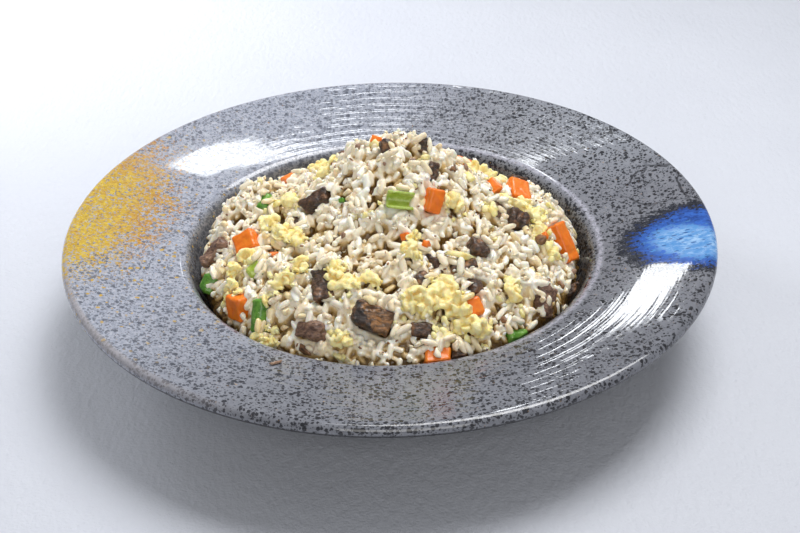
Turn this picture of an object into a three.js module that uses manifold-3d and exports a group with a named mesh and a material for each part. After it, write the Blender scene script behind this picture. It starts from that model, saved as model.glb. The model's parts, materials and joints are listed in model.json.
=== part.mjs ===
// A wide-rimmed stoneware plate with a heap of fried rice: rice, scrambled egg, diced carrot, cut green beans
// and pieces of dark meat. Millimetres, +Z up, origin on the table under the middle of the plate.
import * as THREE from "three";
import { ConvexGeometry } from "three/addons/geometries/ConvexGeometry.js";
import { mergeVertices } from "three/addons/utils/BufferGeometryUtils.js";
import Module from "manifold-3d";

const wasm = await Module();
wasm.setup();

// ---- plate sizes ----
const RIM_RADIUS = 150; // outside of the lip
const RIM_TOP = 48; // crest of the lip above the table
const LIP_HEIGHT = 5; // from the crest down to the underside's edge
const LIP_WIDTH = 3.5; // from the crest out to the lip's outermost point
const SHOULDER_RADIUS = 96; // where the rim turns down into the well
const SHOULDER_TOP = 38.6;
const SHOULDER_ROUND = 4.5;
const WALL = 5.5; // thickness of the body
const FLOOR_TOP = 8.2; // inside floor of the well
const FLOOR_RADIUS = 56; // where the floor starts to curve up
const FOOT_RADIUS = 64; // outside of the foot ring
const FOOT_WIDTH = 6;
const FOOT_HEIGHT = 2.8;
const PLATE_SEGMENTS = 48;
const WELL_STEPS = 4; // chords in each curve of the well's section
const CURVE_STEPS = 3; // chords in each curve of the rest of the plate's section

// ---- heap sizes ----
const GAP = 0.35; // the clearance that touching pieces keep
const WALL_GAP = 1; // the heap's clearance from the wall of the well, measured outwards
const HEAP_PEAK = { x: 4, y: 8 }; // the top of the mound is a little off the middle
const HEAP_BASE = { x: 0.8, y: -0.5, radius: 88.6 }; // where the flank meets the wall of the well
const HEAP_EDGE_RISE = 2.2; // height of the heap's flank above the wall there
const EDGE_WANDER = 0.012; // how far the heap's outline strays from round, as a part of its radius
const MESH_STEP = 4.4; // spacing of the heap's vertices
const GRAIN = { length: 8, width: 3.2, relief: 1.5 };
const GRAIN_BUMPS = 1500;

// ---- topping sizes ----
const EGG_SINK = 0.06; // how deep a lump of egg sits in the rice, as a part of its height
const SMALLEST_EDGE = 0.1;
const SIGNS = [-1, 1].flatMap((x) => [-1, 1].flatMap((y) => [-1, 1].map((z) => [x, y, z])));

// ---- seeded random numbers ----
function randomFrom(seed) {
  let state = seed >>> 0;
  return () => {
    state = (state + 0x6d2b79f5) >>> 0;
    let t = Math.imul(state ^ (state >>> 15), 1 | state);
    t = (t + Math.imul(t ^ (t >>> 7), 61 | t)) ^ t;
    return ((t ^ (t >>> 14)) >>> 0) / 4294967296;
  };
}

// Smooth noise from -1 to 1: a sum of plane waves with seeded directions.
function waveNoise(seed, wavelength, waves = 7) {
  const random = randomFrom(seed);
  const terms = Array.from({ length: waves }, () => {
    const direction = new THREE.Vector3().setFromSphericalCoords(
      1,
      Math.acos(2 * random() - 1),
      2 * Math.PI * random(),
    );
    const number = (2 * Math.PI * (0.7 + 0.6 * random())) / wavelength;
    return { direction: direction.multiplyScalar(number), phase: 2 * Math.PI * random() };
  });
  return (point) =>
    terms.reduce((sum, w) => sum + Math.sin(w.direction.dot(point) + w.phase), 0) /
    Math.sqrt(waves * 2.2);
}

// ---- plate ----
// The well's inside, from the middle out to the rim's start; the heap's underside follows the same line.
function wellCurve() {
  const path = new THREE.Path();
  path.moveTo(0, FLOOR_TOP);
  path.lineTo(FLOOR_RADIUS, FLOOR_TOP + 0.2);
  path.bezierCurveTo(
    FLOOR_RADIUS + 24,
    FLOOR_TOP + 0.6,
    SHOULDER_RADIUS - 9,
    FLOOR_TOP + 12,
    SHOULDER_RADIUS - SHOULDER_ROUND,
    SHOULDER_TOP - SHOULDER_ROUND - 1,
  );
  path.quadraticCurveTo(
    SHOULDER_RADIUS - SHOULDER_ROUND + 2,
    SHOULDER_TOP - 0.3,
    SHOULDER_RADIUS + 1.5,
    SHOULDER_TOP + 0.3,
  );
  return path;
}

const WELL_POINTS = wellCurve().getPoints(WELL_STEPS);

// The section goes out along the underside, round the lip and back along the rim into the well.
function plateProfile() {
  const crestRadius = RIM_RADIUS - LIP_WIDTH;
  const underside = RIM_TOP - LIP_HEIGHT;
  const path = new THREE.Path();
  path.moveTo(0, FOOT_HEIGHT);
  path.lineTo(FOOT_RADIUS - FOOT_WIDTH - 1, FOOT_HEIGHT);
  path.lineTo(FOOT_RADIUS - FOOT_WIDTH, 0);
  path.lineTo(FOOT_RADIUS, 0);
  path.lineTo(FOOT_RADIUS + 1.2, FOOT_HEIGHT + 0.6);
  path.bezierCurveTo(
    FOOT_RADIUS + 22,
    FOOT_HEIGHT + 2,
    SHOULDER_RADIUS - 3,
    FLOOR_TOP + 8,
    SHOULDER_RADIUS + 2,
    SHOULDER_TOP - WALL - 1.5,
  );
  path.lineTo(SHOULDER_RADIUS + 9, SHOULDER_TOP - WALL + 1);
  path.lineTo(RIM_RADIUS - 1.2, underside);
  path.bezierCurveTo(
    RIM_RADIUS + 0.2,
    underside + 0.3,
    RIM_RADIUS + 0.4,
    RIM_TOP - 0.4,
    crestRadius,
    RIM_TOP,
  );
  const upper = [...WELL_POINTS].reverse();
  path.quadraticCurveTo(
    (crestRadius + SHOULDER_RADIUS) / 2,
    (RIM_TOP + SHOULDER_TOP) / 2 - 0.6,
    upper[0].x,
    upper[0].y,
  );
  return [...path.getPoints(CURVE_STEPS), ...upper.slice(1)];
}

function plateGeometry() {
  return new THREE.LatheGeometry(plateProfile(), PLATE_SEGMENTS).rotateX(Math.PI / 2);
}

// The space that the plate takes up, grown into the well by a clearance, which trims what lies in the well.
function plateRoomSolid() {
  const inside = WELL_POINTS.map((p) => new THREE.Vector2(Math.max(0, p.x - WALL_GAP), p.y + 2 * GAP));
  const outside = [
    new THREE.Vector2(0, 0),
    new THREE.Vector2(RIM_RADIUS, 0),
    new THREE.Vector2(RIM_RADIUS, SHOULDER_TOP),
  ];
  const profile = [...outside, ...inside.reverse()];
  return toSolid(new THREE.LatheGeometry(profile, PLATE_SEGMENTS).rotateX(Math.PI / 2));
}

// Height of the inside of the well at a radius.
function wellHeight(radius) {
  const next = WELL_POINTS.findIndex((p) => p.x >= radius);
  if (next <= 0) return FLOOR_TOP;
  const a = WELL_POINTS[next - 1];
  const b = WELL_POINTS[next];
  return a.y + ((b.y - a.y) * (radius - a.x)) / (b.x - a.x);
}

// ---- heap of rice ----
// The mound's section from the peak out: distance from the axis and height.
const FLANK = new THREE.SplineCurve([
  new THREE.Vector2(0, 89),
  new THREE.Vector2(12, 87),
  new THREE.Vector2(25, 78),
  new THREE.Vector2(37, 67),
  new THREE.Vector2(49, 60),
  new THREE.Vector2(61, 55.5),
  new THREE.Vector2(72, 51),
  new THREE.Vector2(81, 44.5),
  new THREE.Vector2(87, 35.5),
  new THREE.Vector2(HEAP_BASE.radius, wellHeight(HEAP_BASE.radius + WALL_GAP) + HEAP_EDGE_RISE),
]);

// Rises and hollows on the mound: place, how wide and how high.
const LOBES = [
  { x: -75, y: 18, spread: 18, rise: 7 }, // left shoulder
  { x: 72, y: 10, spread: 17, rise: 3.4 }, // right shoulder
  { x: -62, y: 32, spread: 10, rise: 3.5 },
  { x: -18, y: 14, spread: 9, rise: 4.5 }, // the mound has a shoulder on each side too
  { x: 34, y: 14, spread: 14, rise: 5.5 },
  { x: -36, y: 56, spread: 28, rise: -9 }, // the back falls away on both sides of the mound
  { x: 42, y: 52, spread: 26, rise: -10 },
  { x: -36, y: -14, spread: 12, rise: -6 }, // hollow to the left of the mound
  { x: 6, y: -24, spread: 22, rise: 4 }, // front of the mound
  { x: 46, y: -36, spread: 18, rise: 2 },
  { x: -40, y: -56, spread: 16, rise: 2 },
];

const lumps = waveNoise(11, 26);
const smallLumps = waveNoise(12, 12);
const edgeWander = waveNoise(13, 60);

// A point of the mound, from a share of the flank's length and an angle, without the grains.
function moundPoint(share, angle) {
  const section = FLANK.getPointAt(share);
  const out = new THREE.Vector3(Math.cos(angle), Math.sin(angle), 0);
  const wander = EDGE_WANDER * share * edgeWander(out.clone().multiplyScalar(HEAP_BASE.radius));
  const point = out.clone().multiplyScalar(section.x * (1 + wander));
  point.x += THREE.MathUtils.lerp(HEAP_PEAK.x, HEAP_BASE.x, share);
  point.y += THREE.MathUtils.lerp(HEAP_PEAK.y, HEAP_BASE.y, share);
  // The edge stays at one height above the wall, wherever the wall is.
  const wallShift =
    wellHeight(Math.hypot(point.x, point.y) + WALL_GAP) - wellHeight(HEAP_BASE.radius + WALL_GAP);
  point.z = section.y + wallShift * share ** 12;
  const fade = Math.min(1, (1 - share) * 6);
  for (const lobe of LOBES) {
    const distance = Math.hypot(point.x - lobe.x, point.y - lobe.y);
    point.z += fade * lobe.rise * Math.exp(-((distance / lobe.spread) ** 2));
  }
  const rough = fade * (1.7 * lumps(point) + 1.1 * smallLumps(point));
  return point.addScaledVector(out.multiplyScalar(share).setZ(1 - share / 2).normalize(), rough);
}

function moundNormal(share, angle) {
  const step = 0.012;
  const inner = moundPoint(Math.max(0.002, share - step), angle);
  const outer = moundPoint(Math.min(1, share + step), angle);
  const turn = step / Math.max(share, 0.05);
  const left = moundPoint(share, angle + turn);
  const right = moundPoint(share, angle - turn);
  return outer.sub(inner).cross(left.sub(right)).normalize();
}

// Grain-sized bumps lying every way over the mound.
function grainBumps() {
  const random = randomFrom(21);
  return Array.from({ length: GRAIN_BUMPS }, () => {
    const share = Math.sqrt(random());
    const angle = 2 * Math.PI * random();
    const normal = moundNormal(share, angle);
    const along = new THREE.Vector3(random() - 0.5, random() - 0.5, random() - 0.5)
      .cross(normal)
      .normalize();
    return {
      centre: moundPoint(share, angle),
      along,
      across: normal.clone().cross(along),
      relief: GRAIN.relief * (0.5 + 0.5 * random()),
    };
  });
}

function bumpHeight(point, bumps) {
  let height = 0;
  const offset = new THREE.Vector3();
  for (const bump of bumps) {
    offset.subVectors(point, bump.centre);
    if (offset.lengthSq() > GRAIN.length ** 2) continue;
    const u = offset.dot(bump.along) / (GRAIN.length / 2);
    const v = offset.dot(bump.across) / (GRAIN.width / 2);
    height = Math.max(height, bump.relief * Math.sqrt(Math.max(0, 1 - u * u - v * v)));
  }
  return height;
}

// Joins two rings of vertices, each given by its first index and its count, with triangles.
function stitch(triangles, inner, outer) {
  let i = 0;
  let o = 0;
  while (i < inner.count || o < outer.count) {
    const a = inner.first + (i % inner.count);
    const b = outer.first + (o % outer.count);
    const innerNext = (i + 1) / inner.count;
    const outerNext = (o + 1) / outer.count;
    if (o < outer.count && (i >= inner.count || outerNext <= innerNext)) {
      triangles.push(a, b, outer.first + ((o + 1) % outer.count));
      o += 1;
    } else {
      triangles.push(a, b, inner.first + ((i + 1) % inner.count));
      i += 1;
    }
  }
}

// The heap, with its upper side raised by a clearance when it serves to trim what lies on it.
function heapGeometry(raise = 0) {
  const bumps = grainBumps();
  const points = [];
  const triangles = [];
  const rings = [];
  const ringCount = Math.round(FLANK.getLength() / MESH_STEP);
  points.push(moundPoint(0, 0));
  for (let k = 1; k <= ringCount; k += 1) {
    const share = k / ringCount;
    const radius = FLANK.getPointAt(share).x;
    const count = Math.max(6, Math.round((2 * Math.PI * radius) / MESH_STEP));
    rings.push({ first: points.length, count });
    for (let i = 0; i < count; i += 1) {
      const angle = (2 * Math.PI * (i + (k % 2) / 2)) / count;
      const point = moundPoint(share, angle);
      const height = (k === ringCount ? 0 : bumpHeight(point, bumps)) - GRAIN.relief / 2;
      points.push(point.addScaledVector(moundNormal(share, angle), height + raise));
    }
  }
  // The underside: rings that follow the inside of the well, with a small clearance.
  const edge = rings.at(-1);
  for (const [share, count] of [
    [0.985, edge.count],
    [0.93, 72],
    [0.84, 52],
    [0.7, 40],
    [0.58, 30],
  ]) {
    rings.push({ first: points.length, count });
    for (let i = 0; i < count; i += 1) {
      const angle = (2 * Math.PI * (i + 0.5)) / count;
      const rim = moundPoint(1, angle);
      const radius = share * Math.hypot(rim.x, rim.y);
      points.push(
        rim.setZ(0).setLength(radius).setZ(wellHeight(radius + WALL_GAP) + GAP),
      );
    }
  }
  const bottom = points.length;
  points.push(new THREE.Vector3(0, 0, FLOOR_TOP + GAP));
  for (let i = 0; i < rings[0].count; i += 1) {
    triangles.push(0, rings[0].first + i, rings[0].first + ((i + 1) % rings[0].count));
  }
  rings.slice(1).forEach((ring, k) => stitch(triangles, rings[k], ring));
  const last = rings.at(-1);
  for (let i = 0; i < last.count; i += 1) {
    triangles.push(bottom, last.first + ((i + 1) % last.count), last.first + i);
  }
  const geometry = new THREE.BufferGeometry().setFromPoints(points);
  geometry.setIndex(triangles);
  return geometry;
}

// ---- solids that cut each other ----
function toSolid(geometry) {
  const plain = new THREE.BufferGeometry().setAttribute("position", geometry.getAttribute("position"));
  if (geometry.index) plain.setIndex(geometry.index);
  const merged = mergeVertices(plain, 1e-4);
  const mesh = new wasm.Mesh({
    numProp: 3,
    vertProperties: new Float32Array(merged.getAttribute("position").array),
    triVerts: new Uint32Array(merged.index.array),
  });
  return new wasm.Manifold(mesh);
}

function toGeometry(solid) {
  const mesh = solid.getMesh();
  const geometry = new THREE.BufferGeometry();
  geometry.setAttribute("position", new THREE.BufferAttribute(mesh.vertProperties, 3));
  return geometry.setIndex(new THREE.BufferAttribute(mesh.triVerts, 1));
}

// What is left of a solid outside all the cutters: its largest piece, without edges too short to see.
function trimmed(solid, cutters) {
  const rest = cutters.reduce((left, cutter) => left.subtract(cutter), solid).simplify(SMALLEST_EDGE);
  return rest.decompose().sort((a, b) => b.volume() - a.volume())[0];
}

// ---- toppings ----
// The place on the mound over a point (x, y), as a matrix: Z out of the surface, X to the right along it,
// then turned round Z, leaned towards -Y and twisted round its own Z, all in degrees.
function placeOnMound({ x, y, turn = 0, lean = 0, twist = 0, sink = 0 }) {
  let low = 0;
  let high = 1;
  let angle = 0;
  while (high - low > 1e-4) {
    const share = (low + high) / 2;
    const centreX = THREE.MathUtils.lerp(HEAP_PEAK.x, HEAP_BASE.x, share);
    const centreY = THREE.MathUtils.lerp(HEAP_PEAK.y, HEAP_BASE.y, share);
    angle = Math.atan2(y - centreY, x - centreX);
    if (Math.hypot(x - centreX, y - centreY) > FLANK.getPointAt(share).x) low = share;
    else high = share;
  }
  const normal = moundNormal(low, angle);
  const point = moundPoint(low, angle).addScaledVector(normal, -sink);
  const right = new THREE.Vector3(1, 0, 0).addScaledVector(normal, -normal.x).normalize();
  return new THREE.Matrix4()
    .makeBasis(right, normal.clone().cross(right), normal)
    .setPosition(point)
    .multiply(new THREE.Matrix4().makeRotationZ(THREE.MathUtils.degToRad(turn)))
    .multiply(new THREE.Matrix4().makeRotationX(THREE.MathUtils.degToRad(lean)))
    .multiply(new THREE.Matrix4().makeRotationZ(THREE.MathUtils.degToRad(twist)));
}

// A cut block: its corners pushed in unevenly and every edge bevelled.
function blockSolid([length, depth, height], { uneven = 0.06, bevel = 0.8 }, random) {
  const corners = [];
  for (const [sx, sy, sz] of SIGNS) {
    const x = (sx * length * (1 - uneven * random())) / 2;
    const y = (sy * depth * (1 - uneven * random())) / 2;
    const z = (sz * height * (1 - uneven * random())) / 2;
    corners.push(
      new THREE.Vector3(x, y - sy * bevel, z - sz * bevel),
      new THREE.Vector3(x - sx * bevel, y, z - sz * bevel),
      new THREE.Vector3(x - sx * bevel, y - sy * bevel, z),
    );
  }
  return toSolid(new ConvexGeometry(corners));
}

// A length of green bean, lying along X, rounded where it was cut.
function beanSolid([length, depth, height]) {
  const half = length / 2;
  const profile = [
    [0, -half],
    [0.72, -half],
    [1, -half + 1],
    [1, half - 1],
    [0.72, half],
    [0, half],
  ].map(([radius, along]) => new THREE.Vector2(radius, along));
  const body = new THREE.LatheGeometry(profile, 10).scale(height / 2, 1, depth / 2);
  return toSolid(body.rotateZ(-Math.PI / 2));
}

// A half pipe of green stalk, lying along X with its hollow side up; filled, it is a half round bar.
function stalkSolid([length, depth, height], { filled = false }) {
  const section = new THREE.Shape();
  section.absellipse(0, 0, depth / 2, height, Math.PI, 2 * Math.PI);
  if (!filled) section.absellipse(0, 0, depth / 3, height / 2, 2 * Math.PI, Math.PI, true);
  const options = { depth: length, curveSegments: 5, bevelEnabled: false };
  const body = new THREE.ExtrudeGeometry(section, options).translate(0, height / 2, -length / 2);
  return toSolid(body.rotateX(Math.PI / 2).rotateZ(Math.PI / 2));
}

// A soft lump: a ball pushed in and out by noise. Level 0 has 20 faces and level 1 has 80.
function lumpSolid([length, depth, height], { uneven = 0.2, level = 1 }, random) {
  const ball = new THREE.IcosahedronGeometry(1, level);
  const noise = waveNoise(Math.floor(random() * 1e6), 1.6);
  const place = ball.getAttribute("position");
  const point = new THREE.Vector3();
  for (let i = 0; i < place.count; i += 1) {
    point.fromBufferAttribute(place, i);
    point.multiplyScalar(1 + uneven * noise(point));
    place.setXYZ(i, point.x, point.y, point.z);
  }
  return toSolid(ball.scale(length / 2, depth / 2, height / 2));
}

const SHAPES = { block: blockSolid, bean: beanSolid, stalk: stalkSolid, lump: lumpSolid };

// A piece in its place, and the same piece grown by the clearance, which cuts its pocket.
function layPiece(piece, index) {
  const build = (size, options) =>
    SHAPES[piece.shape ?? "block"](size, { ...piece, ...options }, randomFrom(100 + index)).transform(
      placeOnMound(piece).elements,
    );
  const grown = piece.size.map((side) => side + 2 * GAP);
  return { solid: build(piece.size), pocket: build(grown, { filled: true, bevel: 0 }) };
}

const CARROTS = [
  { name: "carrot_left", x: -65, y: -18, size: [11, 11, 10], turn: 20, lean: 45, twist: -36, sink: 1 },
  { name: "carrot_low_left", x: -67, y: -49, size: [10, 11, 9], turn: -12, lean: 15, sink: 1.5 },
  { name: "carrot_centre", x: 20, y: -23, size: [7.5, 11, 8], turn: -8, lean: 20, sink: 1.5 },
  { name: "carrot_right_back", x: 61, y: 13, size: [10, 13, 10], turn: 12, lean: 25, sink: 1 },
  { name: "carrot_right", x: 80, y: -13, size: [19, 8, 9], turn: -58, lean: 5, sink: 1.5 },
  { name: "carrot_front", x: 19, y: -85, size: [11, 9, 8], turn: -4, sink: 2 },
  { name: "carrot_low_right", x: 35, y: -67, size: [6.5, 8, 7], turn: 20, sink: 1 },
  { name: "carrot_behind_left", x: -46, y: 50, size: [11, 10, 9], turn: 28, sink: 1 },
  { name: "carrot_behind_right", x: 36, y: 62, size: [10, 11, 9], turn: -20, sink: 1.5 },
];

const GREENS = [
  { name: "bean_left", shape: "bean", x: -82, y: -24, size: [9, 10, 10], turn: 50, sink: 0.5 },
  { name: "bean_front_left", shape: "bean", x: -57, y: -59, size: [15, 9.5, 8.5], turn: 84, sink: 1 },
  { name: "bean_centre", shape: "stalk", x: 5, y: -25, size: [12, 8, 6.5], turn: -6, lean: 10 },
  { name: "bean_back_left", shape: "bean", x: -57, y: 8, size: [11, 5.5, 6], turn: 75, sink: 1 },
  { name: "bean_olive", shape: "bean", x: -60, y: -37, size: [8, 7, 7], turn: 30, sink: 1.2 },
  { name: "bean_front_right", shape: "bean", x: 54, y: -70, size: [10, 7.5, 7], turn: 15, sink: 1.5 },
  { name: "bean_behind", shape: "bean", x: 8, y: 52, size: [14, 8.5, 8], turn: 32, sink: 1 },
];

const MEATS = [
  { name: "meat_top", x: -1, y: 1, size: [9, 11, 6], lean: 55, sink: 1, uneven: 0.5 },
  { name: "meat_top_right", x: 17, y: 5, size: [7, 8, 5], lean: 45, sink: 1, uneven: 0.35 },
  { name: "meat_upper_right", x: 20, y: -9, size: [6, 10, 5], lean: 20, sink: 1.5, uneven: 0.3 },
  { name: "meat_left_band", x: -33, y: -5, size: [17, 9, 7], turn: 18, sink: 2, uneven: 0.25 },
  { name: "meat_left_hollow", x: -43, y: -11, size: [6, 13, 7], turn: -10, sink: 2.5, uneven: 0.3 },
  { name: "meat_centre_left", x: -30, y: -57, size: [9, 18, 9], turn: 8, sink: 2, uneven: 0.25 },
  { name: "meat_front", x: -8, y: -74, size: [18, 11, 11], turn: -22, lean: 8, sink: 1.5, uneven: 0.16 },
  { name: "meat_front_left", x: -35, y: -73, size: [14, 8, 7], turn: -8, sink: 2, uneven: 0.25 },
  { name: "meat_middle", x: 14, y: -58, size: [8, 8, 7], turn: 25, sink: 2.2, uneven: 0.25 },
  { name: "meat_middle_strip", x: 20, y: -48, size: [13, 4, 4], turn: -50, sink: 0.8, uneven: 0.2 },
  { name: "meat_right_long", x: 32, y: -48, size: [14, 7, 6], turn: 12, sink: 1.8, uneven: 0.3 },
  { name: "meat_right_low", x: 36, y: -58, size: [8, 9, 6], turn: 15, sink: 1.6, uneven: 0.3 },
  { name: "meat_right_dark", x: 39, y: -38, size: [8, 9, 8], turn: 10, sink: 2, uneven: 0.15 },
  { name: "meat_right_block", x: 59, y: -11, size: [11, 9, 8], turn: 5, lean: 10, sink: 0.8, uneven: 0.2 },
  { name: "meat_right_purple", x: 50, y: -7, size: [6, 10, 6], turn: -15, sink: 1.2, uneven: 0.25 },
  { name: "meat_right_wedge", x: 68, y: -51, size: [12, 15, 8], turn: -12, sink: 1.2, uneven: 0.4 },
  { name: "meat_right_edge", x: 85, y: -30, size: [7, 7, 6], turn: 20, sink: 1, uneven: 0.2 },
  { name: "meat_front_curl", x: 13, y: -78, size: [11, 7, 6], turn: -10, sink: 1.5, uneven: 0.3 },
  { name: "meat_front_dark", x: 27, y: -82, size: [10, 8, 7], turn: 8, sink: 1.5, uneven: 0.3 },
  { name: "meat_left_strip", x: -80, y: -10, size: [16, 6, 6], turn: 26, sink: 1, uneven: 0.2 },
  { name: "meat_behind_left", x: -18, y: 66, size: [14, 10, 8], turn: -15, sink: 1.2, uneven: 0.25 },
  { name: "meat_behind_right", x: 62, y: 44, size: [12, 9, 8], turn: 40, sink: 1.2, uneven: 0.25 },
];

// Each clump of egg is a few lumps run together: x, y, size, turn.
const EGGS = {
  egg_front: [
    [11, -68, [18, 13, 10], -10],
    [19, -67, [14, 12, 9], 0],
    [22, -61, [12, 18, 10], 5],
    [27, -68, [14, 16, 11], -15],
    [33, -74, [20, 11, 11], -8],
  ],
  egg_front_low: [
    [21, -79, [12, 8, 8], 0],
    [31, -78, [15, 8, 9], 8],
  ],
  egg_centre: [
    [-24, -51, [13, 12, 9], 0],
    [-19, -58, [15, 13, 10], 20],
    [-9, -58, [15, 10, 9], -12],
  ],
  egg_upper_centre: [
    [12, -39, [12, 8, 7], 10],
    [9, -45, [10, 11, 8], 0],
    [13, -51, [11, 10, 8], 30],
  ],
  egg_upper_left: [
    [-53, -10, [12, 12, 8], 20],
    [-47, -17, [13, 14, 9], -20],
    [-42, -25, [15, 12, 9], 0],
  ],
  egg_top_left: [
    [-51, 7, [12, 8, 7], -10],
    [-44, 3, [11, 8, 7], -30],
  ],
  egg_left_strip: [
    [-69, -32, [9, 11, 7], 0],
    [-69, -40, [9, 13, 7], 5],
    [-67, -46, [7, 10, 7], -10],
  ],
  egg_left_long: [
    [-53, -56, [13, 8, 8], 38],
    [-46, -51, [13, 8, 8], 38],
    [-39, -45, [13, 8, 8], 40],
  ],
  egg_right_sheet: [
    [52, -19, [11, 11, 7], 30],
    [53, -1, [11, 9, 8], 10],
    [62, 1, [14, 9, 8], -5],
    [69, -4, [11, 12, 8], -30],
    [69, -12, [9, 14, 7], -10],
  ],
  egg_right_strands: [
    [70, -19, [11, 7, 7], -35],
    [75, -24, [11, 7, 7], -30],
  ],
  egg_right_left: [[46, -10, [7, 13, 7], -10]],
  egg_back_left: [[-28, 22, [13, 9, 8], 15]],
  egg_back_right: [[53, 26, [12, 9, 8], 20]],
  egg_pale_centre: [[28, -18, [11, 11, 9], 10]],
  egg_left_curl: [[-61, -29, [11, 7, 7], 10]],
  egg_front_left: [
    [-58, -66, [9, 7, 7], 0],
    [-52, -70, [10, 7, 7], 15],
  ],
  egg_right_small: [[52, -56, [8, 12, 7], 20]],
  egg_front_mid: [[-21, -79, [10, 9, 8], -30]],
  egg_behind_left: [
    [-34, 62, [14, 11, 9], 10],
    [-27, 57, [13, 12, 9], -30],
  ],
  egg_behind_right: [
    [46, 48, [14, 12, 9], -20],
    [39, 45, [12, 11, 8], 15],
  ],
};

// ---- assembly ----
const stoneware = new THREE.MeshStandardMaterial({ color: 0x84878d, roughness: 0.22, metalness: 0 });
const rice = new THREE.MeshStandardMaterial({ color: 0xe6ddc6, roughness: 0.45, metalness: 0 });
const carrot = new THREE.MeshStandardMaterial({ color: 0xe8641b, roughness: 0.35, metalness: 0 });
const green = new THREE.MeshStandardMaterial({ color: 0x5c8f23, roughness: 0.3, metalness: 0 });
const meat = new THREE.MeshStandardMaterial({ color: 0x4a3228, roughness: 0.5, metalness: 0 });
const egg = new THREE.MeshStandardMaterial({ color: 0xe9d380, roughness: 0.45, metalness: 0 });

const dish = new THREE.Group();

function addNode(name, geometry, material) {
  const mesh = new THREE.Mesh(geometry, material);
  mesh.name = name;
  dish.add(mesh);
}

addNode("plate", plateGeometry(), stoneware);

const plateRoom = plateRoomSolid();
const pockets = [];
const firmPieces = [
  [CARROTS, carrot],
  [GREENS, green],
  [MEATS, meat],
].flatMap(([pieces, material]) => pieces.map((piece) => ({ piece, material })));
firmPieces.forEach(({ piece, material }, index) => {
  const { solid, pocket } = layPiece(piece, index);
  addNode(piece.name, toGeometry(trimmed(solid, [plateRoom, ...pockets])), material);
  pockets.push(pocket);
});
addNode("rice_heap", toGeometry(trimmed(toSolid(heapGeometry()), pockets)), rice);

const trimmers = [plateRoom, toSolid(heapGeometry(GAP)), ...pockets];
Object.entries(EGGS).forEach(([name, clump], index) => {
  const level = clump.length > 1 ? 0 : 1;
  const pieces = clump.map(([x, y, size, turn], k) =>
    layPiece({ shape: "lump", level, x, y, size, turn, sink: size[2] * EGG_SINK }, 200 + 10 * index + k),
  );
  const joined = (kind) => pieces.map((piece) => piece[kind]).reduce((a, b) => a.add(b));
  addNode(name, toGeometry(trimmed(joined("solid"), trimmers)), egg);
  trimmers.push(joined("pocket"));
});

export default dish;
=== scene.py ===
"""A helping of fried rice in its wide-rimmed stoneware plate. Metres, +Z up, the plate's foot on z = 0."""
import json
import math
from contextlib import contextmanager

import bpy
import numpy as np
from mathutils import Matrix, Vector
from mathutils.bvhtree import BVHTree
from mathutils.kdtree import KDTree

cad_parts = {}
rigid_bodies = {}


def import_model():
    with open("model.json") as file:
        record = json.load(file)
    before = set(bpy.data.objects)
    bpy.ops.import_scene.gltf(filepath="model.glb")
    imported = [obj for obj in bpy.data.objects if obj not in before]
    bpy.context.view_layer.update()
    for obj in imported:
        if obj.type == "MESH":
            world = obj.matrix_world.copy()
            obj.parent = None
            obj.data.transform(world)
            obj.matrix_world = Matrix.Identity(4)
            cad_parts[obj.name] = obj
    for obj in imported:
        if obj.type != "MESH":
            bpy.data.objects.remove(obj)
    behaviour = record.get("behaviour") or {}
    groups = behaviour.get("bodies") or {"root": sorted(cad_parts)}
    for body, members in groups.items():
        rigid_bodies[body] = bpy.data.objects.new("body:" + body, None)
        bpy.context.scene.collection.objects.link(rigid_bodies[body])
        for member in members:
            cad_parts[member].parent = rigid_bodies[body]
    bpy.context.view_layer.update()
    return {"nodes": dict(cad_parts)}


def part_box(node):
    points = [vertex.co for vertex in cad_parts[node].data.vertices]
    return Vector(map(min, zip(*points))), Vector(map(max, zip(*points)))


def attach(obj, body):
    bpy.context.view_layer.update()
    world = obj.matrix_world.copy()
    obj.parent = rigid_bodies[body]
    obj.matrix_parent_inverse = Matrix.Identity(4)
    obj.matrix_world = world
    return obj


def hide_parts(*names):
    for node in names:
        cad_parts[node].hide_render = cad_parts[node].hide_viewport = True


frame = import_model()

MM = 0.001
BODY = "root"

# ---- camera ----
RIM_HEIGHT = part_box("plate")[1].z
CAMERA_DISTANCE = 0.750  # from the middle of the plate at the rim's height
CAMERA_ELEVATION = math.radians(31.46)
CAMERA_ROLL = math.radians(-1.075)
CAMERA_AIM = Vector((0.00435, -0.0349, 0.048))
LENS = 73.11  # millimetres
SENSOR_WIDTH = 36  # millimetres

# ---- light ----
STRIP_DISTANCE = 1.2  # from the middle of the plate back to the narrow lights
STRIP_COLOUR = (0.94, 0.97, 1)

# ---- plate, the same section as the solid's ----
RIM_RADIUS = 150 * MM
LIP_HEIGHT = 5 * MM
LIP_WIDTH = 3.5 * MM
SHOULDER_RADIUS = 96 * MM
SHOULDER_TOP = 38.6 * MM
SHOULDER_ROUND = 4.5 * MM
WALL = 5.5 * MM
FLOOR_TOP = 8.2 * MM
FLOOR_RADIUS = 56 * MM
FOOT_RADIUS = 64 * MM
FOOT_WIDTH = 6 * MM
FOOT_HEIGHT = 2.8 * MM
UNDER_RIM_START = (SHOULDER_RADIUS + 9 * MM, SHOULDER_TOP - WALL + MM)
UNDER_RIM_END = (RIM_RADIUS - 1.2 * MM, RIM_HEIGHT - LIP_HEIGHT)
UNDER_RIM_SLOPE = 0.203
SPIN_STEPS = 256
CURVE_STEPS = 14

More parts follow.
